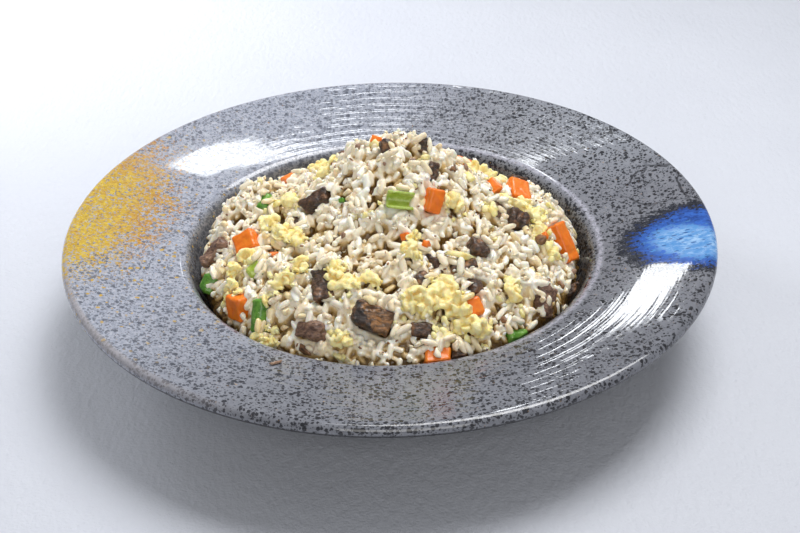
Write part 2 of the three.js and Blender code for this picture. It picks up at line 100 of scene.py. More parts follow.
# ---- glaze ----
RIDGE_GAP = 1.6 * MM  # from one throwing ridge to the next
WIDE_RIDGE_GAP = 5.2 * MM
CRACKS_MIDDLE = (132 * MM, 37 * MM)
GOLD_ANGLE = 0.19  # radians from the left towards the back
GOLD_HALF_ANGLE = 0.57
GOLD_REACH = 55 * MM  # inwards from the lip
BLUE_START = 147 * MM  # from the middle of the plate
BLUE_REACH = 36 * MM
BLUE_MIDDLE = -13.5 * MM  # along Y
BLUE_HALF_WIDTH = 25.5 * MM
LIGHT_BLUE_MIDDLE = (137 * MM, -16.5 * MM)
LIGHT_BLUE_REACH = (19 * MM, 15.5 * MM)

# ---- rice ----
GRAIN_LENGTH = 7.8 * MM
GRAIN_WIDTH = 3.4 * MM
GRAIN_THICKNESS = 3.0 * MM
MAP_STEP = 0.5 * MM  # cell of the height maps
MAP_HALF = 95 * MM
LAID_DEPTH = 6 * MM  # depth of the single grains under the mound's surface
LAYING_ROUNDS = 600
ROUND_GRAINS = 24  # places tried in one round
LOW_CELLS_LEFT = 40  # the heap is full when no more cells than this are low
GRAIN_SINK = 0.5 * MM  # how far a grain presses into what it lies on
STEEPEST_PITCH = 1.1  # radians
CREVICE_DEPTH = 4.6 * MM  # depth of the crevices between the clumps
LUMP_HEIGHT = 2.8 * MM  # how far the clumps of rice stand out of the mound
HUG_HEIGHT = 0.8 * MM  # how far the rice stands out beside the toppings
GAP_DEPTH = 2.5 * MM  # depth of the gaps between the grains
DEEPEST_GAP = 4.2 * MM  # where no grain fills one
DARK_DEPTH = 3.0 * MM  # how deep in a gap the rice is darkest
WEDGES = 5  # the stuck rice is made in wedges of the heap
WEDGE_OVERLAP = 1.5 * MM
STICK_STEP = 0.42 * MM  # cell of the mesh in which the grains run together
KEPT_FACES = 0.36  # share of that mesh's faces that is kept
LOOSE_SHARE = 0.12  # share of the grains that lie loose on the stuck ones
LOOSE_TONE = 0.7  # they are less white than the others
STICK_OUT = 2.2 * MM  # how far a grain's end may stick out of the mound
EDGE_GRAINS = 300  # places tried along the edges of the toppings
EDGE_STICK_OUT = 2.5 * MM

# ---- which toppings look different from their kind ----
PALE_STALKS = ("bean_centre", "bean_olive")
PALE_MEAT = ("meat_left_strip", "meat_right_purple", "meat_right_wedge", "meat_front_left")
CUT_MEAT = "meat_front"

random = np.random.default_rng(5)


# ================= modelling by hand =================
def only(piece):
    """Makes one piece the selected and active one."""
    bpy.ops.object.select_all(action="DESELECT")
    piece.select_set(True)
    bpy.context.view_layer.objects.active = piece


@contextmanager
def edit_mode(piece, where=None):
    """Edit mode on one piece, with all of it selected, or only the vertices where a test holds."""
    only(piece)
    bpy.ops.object.mode_set(mode="EDIT")
    bpy.ops.mesh.select_mode(type="VERT")
    bpy.ops.mesh.select_all(action="SELECT")
    if where:
        bpy.ops.mesh.select_all(action="DESELECT")
        bpy.ops.object.mode_set(mode="OBJECT")
        for vertex in piece.data.vertices:
            vertex.select = where(vertex.co)
        bpy.ops.object.mode_set(mode="EDIT")
    yield
    bpy.ops.object.mode_set(mode="OBJECT")


def named(name):
    """Names the piece that an operator has just added."""
    piece = bpy.context.object
    piece.name = name
    piece.data.name = name
    return piece


def modify(piece, kind, **settings):
    """Adds a modifier, sets it and applies it."""
    only(piece)
    modifier = piece.modifiers.new(kind.lower(), kind)
    for key, value in settings.items():
        setattr(modifier, key, value)
    bpy.ops.object.modifier_apply(modifier=modifier.name)


def relief(piece, kind, size, strength, mid_level=0.5, **settings):
    """Pushes the surface in and out by a texture whose features have this size."""
    texture = bpy.data.textures.new(f"{piece.name} {kind.lower()}", kind)
    texture.noise_scale = size
    for key, value in settings.items():
        setattr(texture, key, value)
    modify(
        piece, "DISPLACE", texture=texture, texture_coords="LOCAL", strength=strength, mid_level=mid_level
    )


def remesh(piece, size, rounds):
    """An even mesh over the whole piece, its sharpest corners worn off in some rounds of smoothing."""
    modify(piece, "REMESH", mode="VOXEL", voxel_size=size, use_smooth_shade=True)
    modify(piece, "SMOOTH", factor=0.5, iterations=rounds)


def settle(piece, slot, material, *nodes):
    """Finishes a piece: its material, its body and the solids that it stands for. The slot is not used."""
    piece.data.materials.clear()
    piece.data.materials.append(material)
    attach(piece, BODY)
    if nodes:
        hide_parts(*nodes)


def copy_of(node, name):
    """A copy of a solid as one welded mesh, to be worked on."""
    piece = bpy.data.objects.new(name, frame["nodes"][node].data.copy())
    bpy.context.scene.collection.objects.link(piece)
    piece.data.name = name
    with edit_mode(piece):
        bpy.ops.mesh.remove_doubles(threshold=0.01 * MM)
    return piece


# ================= materials =================
class Num:
    """A socket's number: sums on it add Math nodes."""

    def __init__(self, finish, socket):
        self.finish = finish
        self.socket = socket

    def math(self, operation, *others, clamp=False):
        settings = {"operation": operation, "use_clamp": clamp}
        return self.finish.num("ShaderNodeMath", settings, dict(enumerate((self, *others))))

    def __add__(self, other):
        return self.math("ADD", other)

    def __sub__(self, other):
        return self.math("SUBTRACT", other)

    def __mul__(self, other):
        return self.math("MULTIPLY", other)

    def __rsub__(self, other):
        return self * -1 + other

    def __truediv__(self, other):
        return self.math("DIVIDE", other)

    __radd__ = __add__
    __rmul__ = __mul__

    def over(self, other):
        """The higher of the two."""
        return self.math("MAXIMUM", other)

    def within(self):
        """Kept between 0 and 1."""
        return self.math("ADD", 0, clamp=True)

    def rise(self, low, high):
        """Goes smoothly from 0 at low to 1 at high, which may be the lower number."""
        settings = {"interpolation_type": "SMOOTHSTEP"}
        if low < high:
            return self.finish.num(
                "ShaderNodeMapRange", settings, {"Value": self, "From Min": low, "From Max": high}
            )
        return 1 - self.rise(high, low)


class Finish:
    """A material under construction."""

    def __init__(self, name):
        self.material = bpy.data.materials.new(name)
        self.material.use_nodes = True
        self.tree = self.material.node_tree
        self.tree.nodes.clear()
        self.place = self.node("ShaderNodeTexCoord").outputs["Object"]

    def fill(self, socket, value):
        """Links a socket to another one's value, or sets it."""
        value = value.socket if isinstance(value, Num) else value
        if isinstance(value, bpy.types.NodeSocket):
            self.tree.links.new(value, socket)
        else:
            socket.default_value = value

    def node(self, kind, settings=None, inputs=None):
        """Adds a node, with its settings first and then the values or links of its sockets."""
        node = self.tree.nodes.new(kind)
        for key, value in (settings or {}).items():
            setattr(node, key, value)
        for key, value in (inputs or {}).items():
            self.fill(node.inputs[key], value)
        return node

    def num(self, kind, settings=None, inputs=None, output=0):
        """One output of a new node, as a number."""
        return Num(self, self.node(kind, settings, inputs).outputs[output])

    def noise(self, size, detail=3, roughness=0.55, place=None):
        """Clouds of this size, about 0.5 on average."""
        inputs = {
            "Vector": place or self.place,
            "Scale": 1 / size,
            "Detail": detail,
            "Roughness": roughness,
        }
        return self.num("ShaderNodeTexNoise", None, inputs, "Fac")

    def cells(self, size, feature, place):
        """Distances in a loose grid of cells of this size."""
        inputs = {"Vector": place, "Scale": 1 / size}
        return self.num("ShaderNodeTexVoronoi", {"feature": feature}, inputs, "Distance")

    def specks(self, size, least, most, place, crowding=0):
        """Dots of random sizes, one in each cell of a loose grid; sizes are shares of the cell."""
        cell = self.node("ShaderNodeTexVoronoi", {"feature": "F1"}, {"Vector": place, "Scale": 1 / size})
        chance = self.node("ShaderNodeSeparateColor", None, {"Color": cell.outputs["Color"]})
        radius = Num(self, chance.outputs["Red"]) * (most - least) + least + crowding
        return (radius - Num(self, cell.outputs["Distance"])).rise(-0.02, 0.05)

    def stretched(self, scale, turn=0):
        """The place, turned about Z and squeezed along its axes."""
        inputs = {"Vector": self.place, "Scale": scale, "Rotation": (0, 0, turn)}
        return self.node("ShaderNodeMapping", {"vector_type": "POINT"}, inputs).outputs["Vector"]

    def warped(self, size, amount):
        """The place, pushed about by noise."""
        noise = self.node("ShaderNodeTexNoise", None, {"Vector": self.place, "Scale": 1 / size, "Detail": 2})
        centred = self.node(
            "ShaderNodeVectorMath", {"operation": "SUBTRACT"}, {0: noise.outputs["Color"], 1: (0.5,) * 3}
        )
        return self.node(
            "ShaderNodeVectorMath",
            {"operation": "MULTIPLY_ADD"},
            {0: centred.outputs[0], 1: (amount,) * 3, 2: self.place},
        ).outputs[0]

    def mix(self, share, first, second):
        """Goes from the first colour to the second as the share goes from 0 to 1."""
        node = self.node("ShaderNodeMix", {"data_type": "RGBA", "clamp_factor": True})
        sockets = {socket.identifier: socket for socket in node.inputs}
        self.fill(sockets["Factor_Float"], share)
        for key, colour in {"A_Color": first, "B_Color": second}.items():
            self.fill(sockets[key], (*colour, 1) if isinstance(colour, tuple) else colour)
        return next(socket for socket in node.outputs if socket.identifier == "Result_Color")

    def axes(self):
        """The place along X, Y and Z."""
        split = self.node("ShaderNodeSeparateXYZ", None, {"Vector": self.place})
        return (Num(self, split.outputs[k]) for k in range(3))

    def bump(self, height, distance):
        """Makes the surface look raised by the height times this distance."""
        return self.node("ShaderNodeBump", None, {"Height": height, "Distance": distance}).outputs["Normal"]

    def surface(self, **inputs):
        """Ends the material in a Principled shader with these sockets."""
        named_inputs = {key.replace("_", " ").title(): value for key, value in inputs.items()}
        named_inputs = {{"Ior": "IOR"}.get(key, key): value for key, value in named_inputs.items()}
        for key, value in named_inputs.items():
            if isinstance(value, tuple) and len(value) == 3 and "Color" in key:
                named_inputs[key] = (*value, 1)
        shader = self.node("ShaderNodeBsdfPrincipled", None, named_inputs)
        self.node("ShaderNodeOutputMaterial", None, {"Surface": shader.outputs["BSDF"]})
        return self.material


def stoneware_glaze():
    """Blue-grey reactive glaze with dark specks, a sprayed yellow patch and a blue patch."""
    f = Finish("speckled blue-grey glaze")
    x, y, z = f.axes()
    radius = (x * x + y * y).math("SQRT")
    leftness = (x * -1 + y * 0.45 + (f.noise(40 * MM, 2) - 0.5) * 0.06).rise(-0.03, 0.1)
    rightness = x.rise(0.02, 0.12)
    body = f.mix(f.noise(6 * MM, 4) * (1 - rightness * 0.35), (0.15, 0.155, 0.18), (0.3, 0.31, 0.345))
    body = f.mix(f.noise(2.4 * MM, 4, 0.75).rise(0.35, 0.65) * 0.4, body, (0.12, 0.125, 0.15))
    # Paler towards the left: partly a paler glaze, partly a painted reflection of light from the left.
    pale = f.mix(f.noise(2 * MM, 5, 0.75).rise(0.3, 0.7), (0.24, 0.27, 0.34), (0.5, 0.52, 0.6))
    body = f.mix(leftness * 0.8, body, pale)
    front_dark = (y * -1 + x * 0.4).rise(0.01, 0.12) * 0.12
    body = f.mix(front_dark, body, (0.08, 0.085, 0.1))
    body = f.mix(y.rise(0.03, 0.09) * rightness * 0.6, body, (0.29, 0.31, 0.35))
    # Painted shade and a painted brownish reflection of the rice darken the wall of the well.
    well = radius.rise(SHOULDER_RADIUS - 0.5 * MM, SHOULDER_RADIUS - 3.5 * MM)
    body = f.mix(well * (0.5 + f.noise(9 * MM, 3) * 0.5), body, (0.12, 0.115, 0.11))
    # Dark specks of three sizes; to the left the glaze is finer and they are small.
    wander = f.warped(1.1 * MM, 1.5 * MM)
    crowding = (f.noise(9 * MM, 3, 0.6) - 0.5) * 0.3 + well * 0.08
    big = f.specks(2.9 * MM, -0.12, 0.44, wander, crowding) * (1 - leftness * 0.3)
    middling = f.specks(1.7 * MM, 0.12, 0.56, wander, crowding) * (0.95 - leftness * 0.4)
    fine = f.specks(1.1 * MM, 0, 0.5, wander, crowding) * (0.8 - leftness * 0.2)
    specks = big.over(middling).over(fine).within()
    body = f.mix(specks * 0.94, body, f.mix(leftness, (0.012, 0.012, 0.016), (0.024, 0.028, 0.045)))
    body = f.mix(glaze_cracks(f, x, y) * 0.85, body, (0.02, 0.02, 0.025))
    # The glaze is thin and pale on the lip, and a little on the shoulder all round; the shoulder's pale
    # band, much stronger towards the right, is there mostly a painted highlight.
    shoulder = (radius - SHOULDER_RADIUS - 1.4 * MM).math("ABSOLUTE").rise(2.2 * MM, 0.3 * MM)
    shoulder_side = 0.12 + (x + y * 0.25).rise(-0.02, 0.06) * 0.88
    wear_and_highlight = shoulder * f.noise(1.6 * MM, 4, 0.75).rise(0.34, 0.58) * shoulder_side
    body = f.mix(wear_and_highlight * 0.75, body, (0.46, 0.46, 0.54))
    lip = radius.rise(RIM_RADIUS - 4 * MM, RIM_RADIUS - 2.4 * MM) * z.rise(0.0445, 0.0468)
    body = f.mix(lip * leftness * 0.6, body, (0.36, 0.33, 0.33))
    body, gold = sprayed_gold(f, body, x, y, z, radius)
    body = blue_splash(f, body, x, y, radius)
    # Painted shade: under the rim the colour is darkened nearly to black.
    under_rim = (radius - UNDER_RIM_START[0]) * UNDER_RIM_SLOPE + UNDER_RIM_START[1]
    under = (z - under_rim).rise(1.8 * MM, 0.8 * MM) * radius.rise(0.1, 0.11)
    body = f.mix(under * 0.9, body, (0.02, 0.021, 0.024))
    # Throwing ridges run round the rim, and the glaze lies a little uneven over them.
    wobble = f.noise(26 * MM, 3, 0.5)
    ridge = (radius * (2 * math.pi / RIDGE_GAP) + wobble * 7).math("SINE")
    wide_ridge = (radius * (2 * math.pi / WIDE_RIDGE_GAP) + wobble * 9).math("SINE")
    front = (y * -1 - x * 0.2).rise(0.02, 0.09)
    back = y.rise(0.07, 0.1) * x.rise(-0.08, -0.03) * (1 + x.rise(0, 0.04) * 1.5)
    uneven = 0.03 + (front + back)
    height = (ridge * 0.006 + wide_ridge * 0.02) * uneven + f.noise(7 * MM, 3, 0.5) * 0.03 * uneven
    normal = f.bump(height - specks * 0.002, MM)
    roughness = 0.015 + gold * 0.07 + f.noise(8 * MM, 3) * 0.015
    return f.surface(base_color=body, roughness=roughness, normal=normal, ior=1.5)


def glaze_cracks(f, x, y):
    """A few wavy dark lines on the right, towards the back."""
    line = f.cells(30 * MM, "DISTANCE_TO_EDGE", f.warped(14 * MM, 14 * MM)).rise(0.03, 0.012)
    middle_x, middle_y = CRACKS_MIDDLE
    near_x = (x - middle_x).math("ABSOLUTE").rise(26 * MM, 12 * MM)
    near_y = (y - middle_y).math("ABSOLUTE").rise(26 * MM, 10 * MM)
    return line * near_x * near_y


def sprayed_gold(f, body, x, y, z, radius):
    """The yellow patch: dense at the lip on the left, breaking up into grains of gold inwards."""
    angle = y.math("ARCTAN2", x * -1)
    along = (angle - GOLD_ANGLE) / GOLD_HALF_ANGLE
    inwards = (RIM_RADIUS - radius) / GOLD_REACH
    reach = 1.2 - (along * along + inwards * inwards).math("SQRT") + (f.noise(16 * MM, 3) - 0.5) * 0.5
    grain = f.noise(1.7 * MM, 3, 0.75, place=f.warped(2 * MM, 3 * MM))
    threshold = 0.69 - reach.rise(0, 0.8) * 0.28
    covered = ((grain - threshold) / 0.04).within() * z.rise(0.03, 0.036)
    ochre = f.mix(f.noise(1.5 * MM, 4, 0.8).rise(0.4, 0.6), (0.36, 0.16, 0.04), (0.52, 0.3, 0.07))
    yellow = f.mix(f.noise(1.8 * MM, 4, 0.8).rise(0.35, 0.6), (0.4, 0.25, 0.03), (0.63, 0.46, 0.06))
    yellowness = inwards.rise(0.8, 0.2) * (along + 0.25).math("ABSOLUTE").rise(1.0, 0.4)
    gold = f.mix((yellowness * 0.85 + (f.noise(4 * MM, 4, 0.7) - 0.5) * 2).within(), ochre, yellow)
    gold = f.mix(f.noise(2.6 * MM, 4, 0.7).rise(0.58, 0.66) * 0.7, gold, (0.36, 0.15, 0.05))
    grey = f.mix(f.noise(3 * MM, 2).rise(0.45, 0.55), (0.06, 0.06, 0.07), (0.3, 0.3, 0.36))
    gold = f.mix(f.specks(1.8 * MM, -0.15, 0.36, f.warped(1.5 * MM, 2 * MM)) * 0.7, gold, grey)
    body = f.mix(covered, body, gold)
    # Loose flecks of gold around it, down into the well.
    drift = (x * -1).rise(0.03, 0.12) * (y - 0.01).math("ABSOLUTE").rise(0.14, 0.05)
    flecks = f.specks(3 * MM, -0.25, 0.34, f.warped(2 * MM, 2.5 * MM)) * drift
    return f.mix(flecks, body, (0.52, 0.34, 0.05)), covered


def blue_splash(f, body, x, y, radius):
    """The blue patch on the right, with black around it and pale flecks in the middle."""
    streak = f.noise(2.4 * MM, 4, 0.75, place=f.stretched((0.45, 1, 1), 0.2))
    blotch = f.noise(9 * MM, 3, 0.6)
    across = (y - BLUE_MIDDLE) / BLUE_HALF_WIDTH
    inwards = ((BLUE_START - x) / BLUE_REACH).over(0)
    way = (inwards * inwards + across * across).math("SQRT") + (blotch - 0.5) * 0.25
    ragged = way + (streak - 0.5) * 0.9 + (f.noise(1.6 * MM, 3, 0.7) - 0.5) * 0.5
    on_rim = radius.rise(0.1, 0.106)
    body = f.mix(ragged.rise(1.26, 1.14) * on_rim * 0.92, body, (0.012, 0.014, 0.022))
    royal = f.mix(streak.rise(0.35, 0.65), (0.012, 0.045, 0.22), (0.035, 0.13, 0.5))
    body = f.mix(ragged.rise(1.02, 0.92) * on_rim, body, royal)
    from_middle = x - LIGHT_BLUE_MIDDLE[0]
    core_x = from_middle / LIGHT_BLUE_REACH[0]
    core_y = (y - LIGHT_BLUE_MIDDLE[1] + from_middle * 0.3) / LIGHT_BLUE_REACH[1]
    core = (core_x * core_x + core_y * core_y).math("SQRT") + (streak - 0.5) * 1.7
    light = f.mix(streak.rise(0.4, 0.7), (0.08, 0.25, 0.56), (0.34, 0.52, 0.74))
    body = f.mix(core.rise(1.1, 0.75) * on_rim, body, light)
    dash = f.specks(2.3 * MM, -0.1, 0.36, f.stretched((0.5, 1.5, 1), 0.25))
    body = f.mix(dash * way.rise(1.05, 0.8) * on_rim * 0.8, body, (0.015, 0.05, 0.2))
    dark_fleck = f.specks(2 * MM, 0, 0.45, f.warped(1.5 * MM, 2 * MM))
    round_the_blue = way.rise(0.55, 0.95) * way.rise(1.3, 1.1) * on_rim
    return f.mix(dark_fleck * round_the_blue * 0.9, body, (0.01, 0.014, 0.03))


def cooked_rice():
    """Moist cooked grains, each with its own stain: tone, egg, browning and depth in the heap."""
    f = Finish("moist cooked rice")
    stain = f.node("ShaderNodeAttribute", {"attribute_name": "stain"})
    split = f.node("ShaderNodeSeparateColor", None, {"Color": stain.outputs["Color"]})
    tone, egg, brown = (Num(f, split.outputs[k]) for k in range(3))
    depth = Num(f, stain.outputs["Alpha"])
    mottle = f.noise(2.2 * MM, 3, 0.6)
    body = f.mix((tone * 0.8 + mottle * 0.35).within(), (0.78, 0.63, 0.38), (0.96, 0.93, 0.84))
    body = f.mix(egg * 0.7, body, (0.85, 0.66, 0.26))
    patch = f.noise(1.5 * MM, 3, 0.6).rise(0.42, 0.64)
    body = f.mix((brown * patch * 0.6).within(), body, (0.45, 0.24, 0.09))
    # Oil and egg have run down between the grains, and deeper in the gaps painted shade darkens the rice.
    body = f.mix(depth.rise(0, 0.45), body, (0.62, 0.43, 0.17))
    body = f.mix(depth.rise(0.25, 0.85), body, (0.17, 0.09, 0.02))
    normal = f.bump(f.noise(1.3 * MM, 3, 0.6), 0.25 * MM)
    roughness = 0.18 + f.noise(1.8 * MM, 2) * 0.2
    return f.surface(
        base_color=body,
        roughness=roughness,
        normal=normal,
        ior=1.42,
        subsurface_weight=0.7,
        subsurface_radius=(1.0, 0.85, 0.6),
        subsurface_scale=1.1 * MM,
        coat_weight=0.45,
        coat_roughness=0.08,
    )


def cooked_carrot():
    """Moist orange carrot with a fine grain."""
    f = Finish("cooked carrot")
    grain = f.noise(1.2 * MM, 3, 0.6, place=f.stretched((1, 0.35, 1), 0.4))
    body = f.mix(grain, (0.78, 0.145, 0.006), (0.86, 0.24, 0.014))
    body = f.mix(f.noise(6 * MM, 2).rise(0.5, 0.75) * 0.6, body, (0.9, 0.27, 0.015))
    normal = f.bump(grain + f.noise(0.7 * MM, 2) * 0.5, 0.1 * MM)
    return f.surface(
        base_color=body,
        roughness=0.26 + grain * 0.2,
        normal=normal,
        subsurface_weight=0.3,
        subsurface_radius=(1.0, 0.35, 0.1),
        subsurface_scale=1.5 * MM,
        coat_weight=0.12,
        coat_roughness=0.15,
    )


def cooked_bean(name, skin, pale):
    """Glossy green skin, mottled with a paler green."""
    f = Finish(name)
    mottle = f.noise(3 * MM, 4, 0.65)
    body = f.mix(mottle.rise(0.35, 0.7), skin, pale)
    body = f.mix(f.noise(0.8 * MM, 2, 0.5).rise(0.66, 0.72) * 0.7, body, (0.5, 0.68, 0.32))
    normal = f.bump(f.noise(1.1 * MM, 3, 0.6) + mottle, 0.12 * MM)
    return f.surface(
        base_color=body,
        roughness=0.2 + mottle * 0.2,
        normal=normal,
        subsurface_weight=0.2,
        subsurface_radius=(0.4, 1.0, 0.15),
        subsurface_scale=1.2 * MM,
        coat_weight=0.25,
        coat_roughness=0.1,
    )


def braised_meat(name, dark, light, edge, node=None):
    """Browned meat, its fibres one way, its torn edges paler. A node named here shows a cut face."""
    f = Finish(name)
    fibre = f.noise(1.1 * MM, 4, 0.65, place=f.stretched((0.22, 1.3, 1), 0.5))
    body = f.mix(fibre.rise(0.36, 0.66), dark, light)
    body = f.mix(f.noise(5 * MM, 3, 0.6).rise(0.52, 0.72) * 0.8, body, edge)
    pointed = f.num("ShaderNodeNewGeometry", None, None, "Pointiness")
    body = f.mix(pointed.rise(0.52, 0.6) * 0.7, body, edge)
    if node:
        low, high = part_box(node)
        cut_at = low.x * 0.52 + high.x * 0.48
        x, _, z = f.axes()
        strands = f.noise(1.4 * MM, 3, 0.6, place=f.stretched((0.3, 1.3, 0.5), -0.6))
        face = f.mix(strands.rise(0.4, 0.62), (0.085, 0.04, 0.014), (0.33, 0.15, 0.045))
        slant = (z - (low.z + high.z) / 2) * 0.6 + (f.noise(2 * MM, 4, 0.7) - 0.5) * 7 * MM
        body = f.mix((x - cut_at + slant).rise(-0.3 * MM, 0.3 * MM), body, face)
    normal = f.bump(fibre + f.noise(0.6 * MM, 2) * 0.3, 0.8 * MM)
    return f.surface(
        base_color=body,
        roughness=0.26 + fibre * 0.3,
        normal=normal,
        subsurface_weight=0.08,
        subsurface_radius=(1.0, 0.4, 0.25),
        subsurface_scale=MM,
        coat_weight=0.3,
        coat_roughness=0.15,
    )


def scrambled_egg():
    """Soft yellow curds, with painted shade of a deeper yellow in their creases."""
    f = Finish("scrambled egg")
    fold = f.noise(3.2 * MM, 4, 0.6)
    body = f.mix(fold.rise(0.3, 0.6), (0.89, 0.7, 0.22), (0.95, 0.83, 0.42))
    body = f.mix(f.noise(1.8 * MM, 3, 0.6).rise(0.45, 0.7) * 0.5, body, (0.95, 0.9, 0.6))
    # Painted shade: the creases are darkened to a deep orange-yellow.
    hollow = f.num("ShaderNodeNewGeometry", None, None, "Pointiness").rise(0.51, 0.4)
    body = f.mix(hollow * 0.7, body, (0.8, 0.5, 0.06))
    normal = f.bump(f.noise(0.9 * MM, 3, 0.65) + fold, 0.3 * MM)
    return f.surface(
        base_color=body,
        roughness=0.36 + fold * 0.2,
        normal=normal,
        subsurface_weight=0.5,
        subsurface_radius=(1.0, 0.8, 0.35),
        subsurface_scale=1.8 * MM,
        coat_weight=0.12,
        coat_roughness=0.2,
    )


def pale_board():
    """The board under the plate, with a fine leathery tooth."""
    f = Finish("pale board")
    tooth = f.cells(2.6 * MM, "SMOOTH_F1", f.stretched((1, 0.55, 1), 0.5)) + f.noise(1.4 * MM, 3)
    body = f.mix(f.noise(60 * MM, 3), (0.53, 0.55, 0.61), (0.57, 0.59, 0.65))
    return f.surface(base_color=body, roughness=0.62, normal=f.bump(tooth, 0.35 * MM))


# ================= plate =================
def bezier(points, steps):
    """Points along a curve of any degree, without its first one."""
    found = []
    for step in range(1, steps + 1):
        share = step / steps
        row = [Vector(p) for p in points]
        while len(row) > 1:
            row = [a.lerp(b, share) for a, b in zip(row, row[1:])]
        found.append(row[0])
    return found


def section(*spots):
    """Points of the plate's section, as (radius, height), at angle 0."""
    return [Vector((radius, 0, height)) for radius, height in spots]


WELL_FLOOR_EDGE = (FLOOR_RADIUS, FLOOR_TOP + 0.2 * MM)
WELL_WALL_TOP = (SHOULDER_RADIUS - SHOULDER_ROUND, SHOULDER_TOP - SHOULDER_ROUND - MM)
RIM_START = (SHOULDER_RADIUS + 1.5 * MM, SHOULDER_TOP + 0.3 * MM)


def well_section():
    """The inside of the well from the middle out to the rim."""
    wall = section(
        WELL_FLOOR_EDGE,
        (FLOOR_RADIUS + 24 * MM, FLOOR_TOP + 0.6 * MM),
        (SHOULDER_RADIUS - 9 * MM, FLOOR_TOP + 12 * MM),
        WELL_WALL_TOP,
    )
    shoulder = section(
        WELL_WALL_TOP,
        (SHOULDER_RADIUS - SHOULDER_ROUND + 2 * MM, SHOULDER_TOP - 0.3 * MM),
        RIM_START,
    )
    start = section((0, FLOOR_TOP), WELL_FLOOR_EDGE)
    return start + bezier(wall, 2 * CURVE_STEPS) + bezier(shoulder, CURVE_STEPS)


def plate_section():
    """The whole section: along the underside, round the lip, back along the rim and into the well."""
    crest = (RIM_RADIUS - LIP_WIDTH, RIM_HEIGHT)
    belly_start = (FOOT_RADIUS + 1.2 * MM, FOOT_HEIGHT + 0.6 * MM)
    foot = section(
        (0, FOOT_HEIGHT),
        (FOOT_RADIUS - FOOT_WIDTH - MM, FOOT_HEIGHT),
        (FOOT_RADIUS - FOOT_WIDTH, 0),
        (FOOT_RADIUS, 0),
        belly_start,
    )
    belly = section(
        belly_start,
        (FOOT_RADIUS + 22 * MM, FOOT_HEIGHT + 2 * MM),
        (SHOULDER_RADIUS - 3 * MM, FLOOR_TOP + 8 * MM),
        (SHOULDER_RADIUS + 2 * MM, SHOULDER_TOP - WALL - 1.5 * MM),
    )
    lip = section(
        UNDER_RIM_END,
        (RIM_RADIUS + 0.2 * MM, UNDER_RIM_END[1] + 0.3 * MM),
        (RIM_RADIUS + 0.4 * MM, RIM_HEIGHT - 0.4 * MM),
        crest,
    )
    rim_middle = ((crest[0] + SHOULDER_RADIUS) / 2, (RIM_HEIGHT + SHOULDER_TOP) / 2 - 0.6 * MM)
    rim = section(crest, rim_middle, RIM_START)
    under_rim = section(UNDER_RIM_START, UNDER_RIM_END)
    outside = foot + bezier(belly, CURVE_STEPS) + under_rim + bezier(lip, CURVE_STEPS)
    inside = well_section()[:-1]
    return outside + bezier(rim, 2 * CURVE_STEPS) + inside[::-1]


def draw_line(name, points):
    """A chain of edges through the points, drawn one after another."""
    bpy.ops.mesh.primitive_plane_add(size=MM)
    line = named(name)
    with edit_mode(line):
        bpy.ops.mesh.merge(type="CENTER")
        bpy.ops.transform.translate(value=points[0])
        for start, end in zip(points, points[1:]):
            bpy.ops.mesh.extrude_vertices_move(TRANSFORM_OT_translate={"value": end - start})
    return line


def make_plate():
    """The plate: its section drawn and spun once round."""
    plate = draw_line("glazed_plate", plate_section())
    with edit_mode(plate):
        bpy.ops.mesh.spin(steps=SPIN_STEPS, angle=2 * math.pi, center=(0, 0, 0), axis=(0, 0, 1))
        bpy.ops.mesh.select_all(action="SELECT")
        bpy.ops.mesh.remove_doubles(threshold=0.005 * MM)
        bpy.ops.mesh.normals_make_consistent(inside=False)
    only(plate)
    bpy.ops.object.shade_smooth_by_angle(angle=math.radians(35))
    settle(plate, "stoneware", stoneware_glaze(), "plate")


# ================= height maps =================
map_line = np.arange(-MAP_HALF, MAP_HALF + MAP_STEP / 2, MAP_STEP)
NOWHERE = -1.0


def top_of(objects):
    """Height of the highest surface of these objects over each point of the map, or NOWHERE."""
    corners = []
    faces = []
    for piece in objects:
        first = len(corners)
        corners += [v.co.copy() for v in piece.data.vertices]
        faces += [[first + k for k in polygon.vertices] for polygon in piece.data.polygons]
    tree = BVHTree.FromPolygons(corners, faces)
    lows = np.array(corners).min(0) - MAP_STEP
    highs = np.array(corners).max(0) + MAP_STEP
    heights = np.full((len(map_line), len(map_line)), NOWHERE)
    down = Vector((0, 0, -1))
    for row, y in enumerate(map_line):
        if not lows[1] < y < highs[1]:
            continue
        for column, x in enumerate(map_line):
            if not lows[0] < x < highs[0]:
                continue
            hit = tree.ray_cast(Vector((x, y, 0.2)), down)[0]
            if hit:
                heights[row, column] = hit.z
    return heights


def blurred(heights, passes):
    """Evens out a map, cell by cell with its neighbours."""
    for _ in range(passes):
        padded = np.pad(heights, 1, mode="edge")
        heights = (
            padded[:-2, 1:-1] + padded[2:, 1:-1] + padded[1:-1, :-2] + padded[1:-1, 2:] + 2 * heights
        ) / 6
    return heights


def mended(heights, known, passes):
    """The map, evened out from its known cells only, and carried on over the others."""
    weight = known.astype(float)
    return blurred(np.where(known, heights, 0), passes) / np.maximum(blurred(weight, passes), 1e-6)


def map_value(heights, x, y):
    """The map's value at a place."""
    return heights[int(round((y + MAP_HALF) / MAP_STEP)), int(round((x + MAP_HALF) / MAP_STEP))]


def lumps(size):
    """Smooth noise over the map, from about -1 to 1, with features of this size."""
    passes = int(3 * (size / 4 / MAP_STEP) ** 2)
    noise = blurred(random.normal(0, 1, (len(map_line), len(map_line))), passes)
    return np.clip(noise / (2 * noise.std()), -1, 1)


def random_places(chances, count):
    """Row, column, x and y of cells picked by their chances."""
    chances = chances.ravel()
    for cell in random.choice(chances.size, size=count, p=chances / chances.sum()):
        row, column = divmod(int(cell), len(map_line))
        yield row, column, map_line[column], map_line[row]


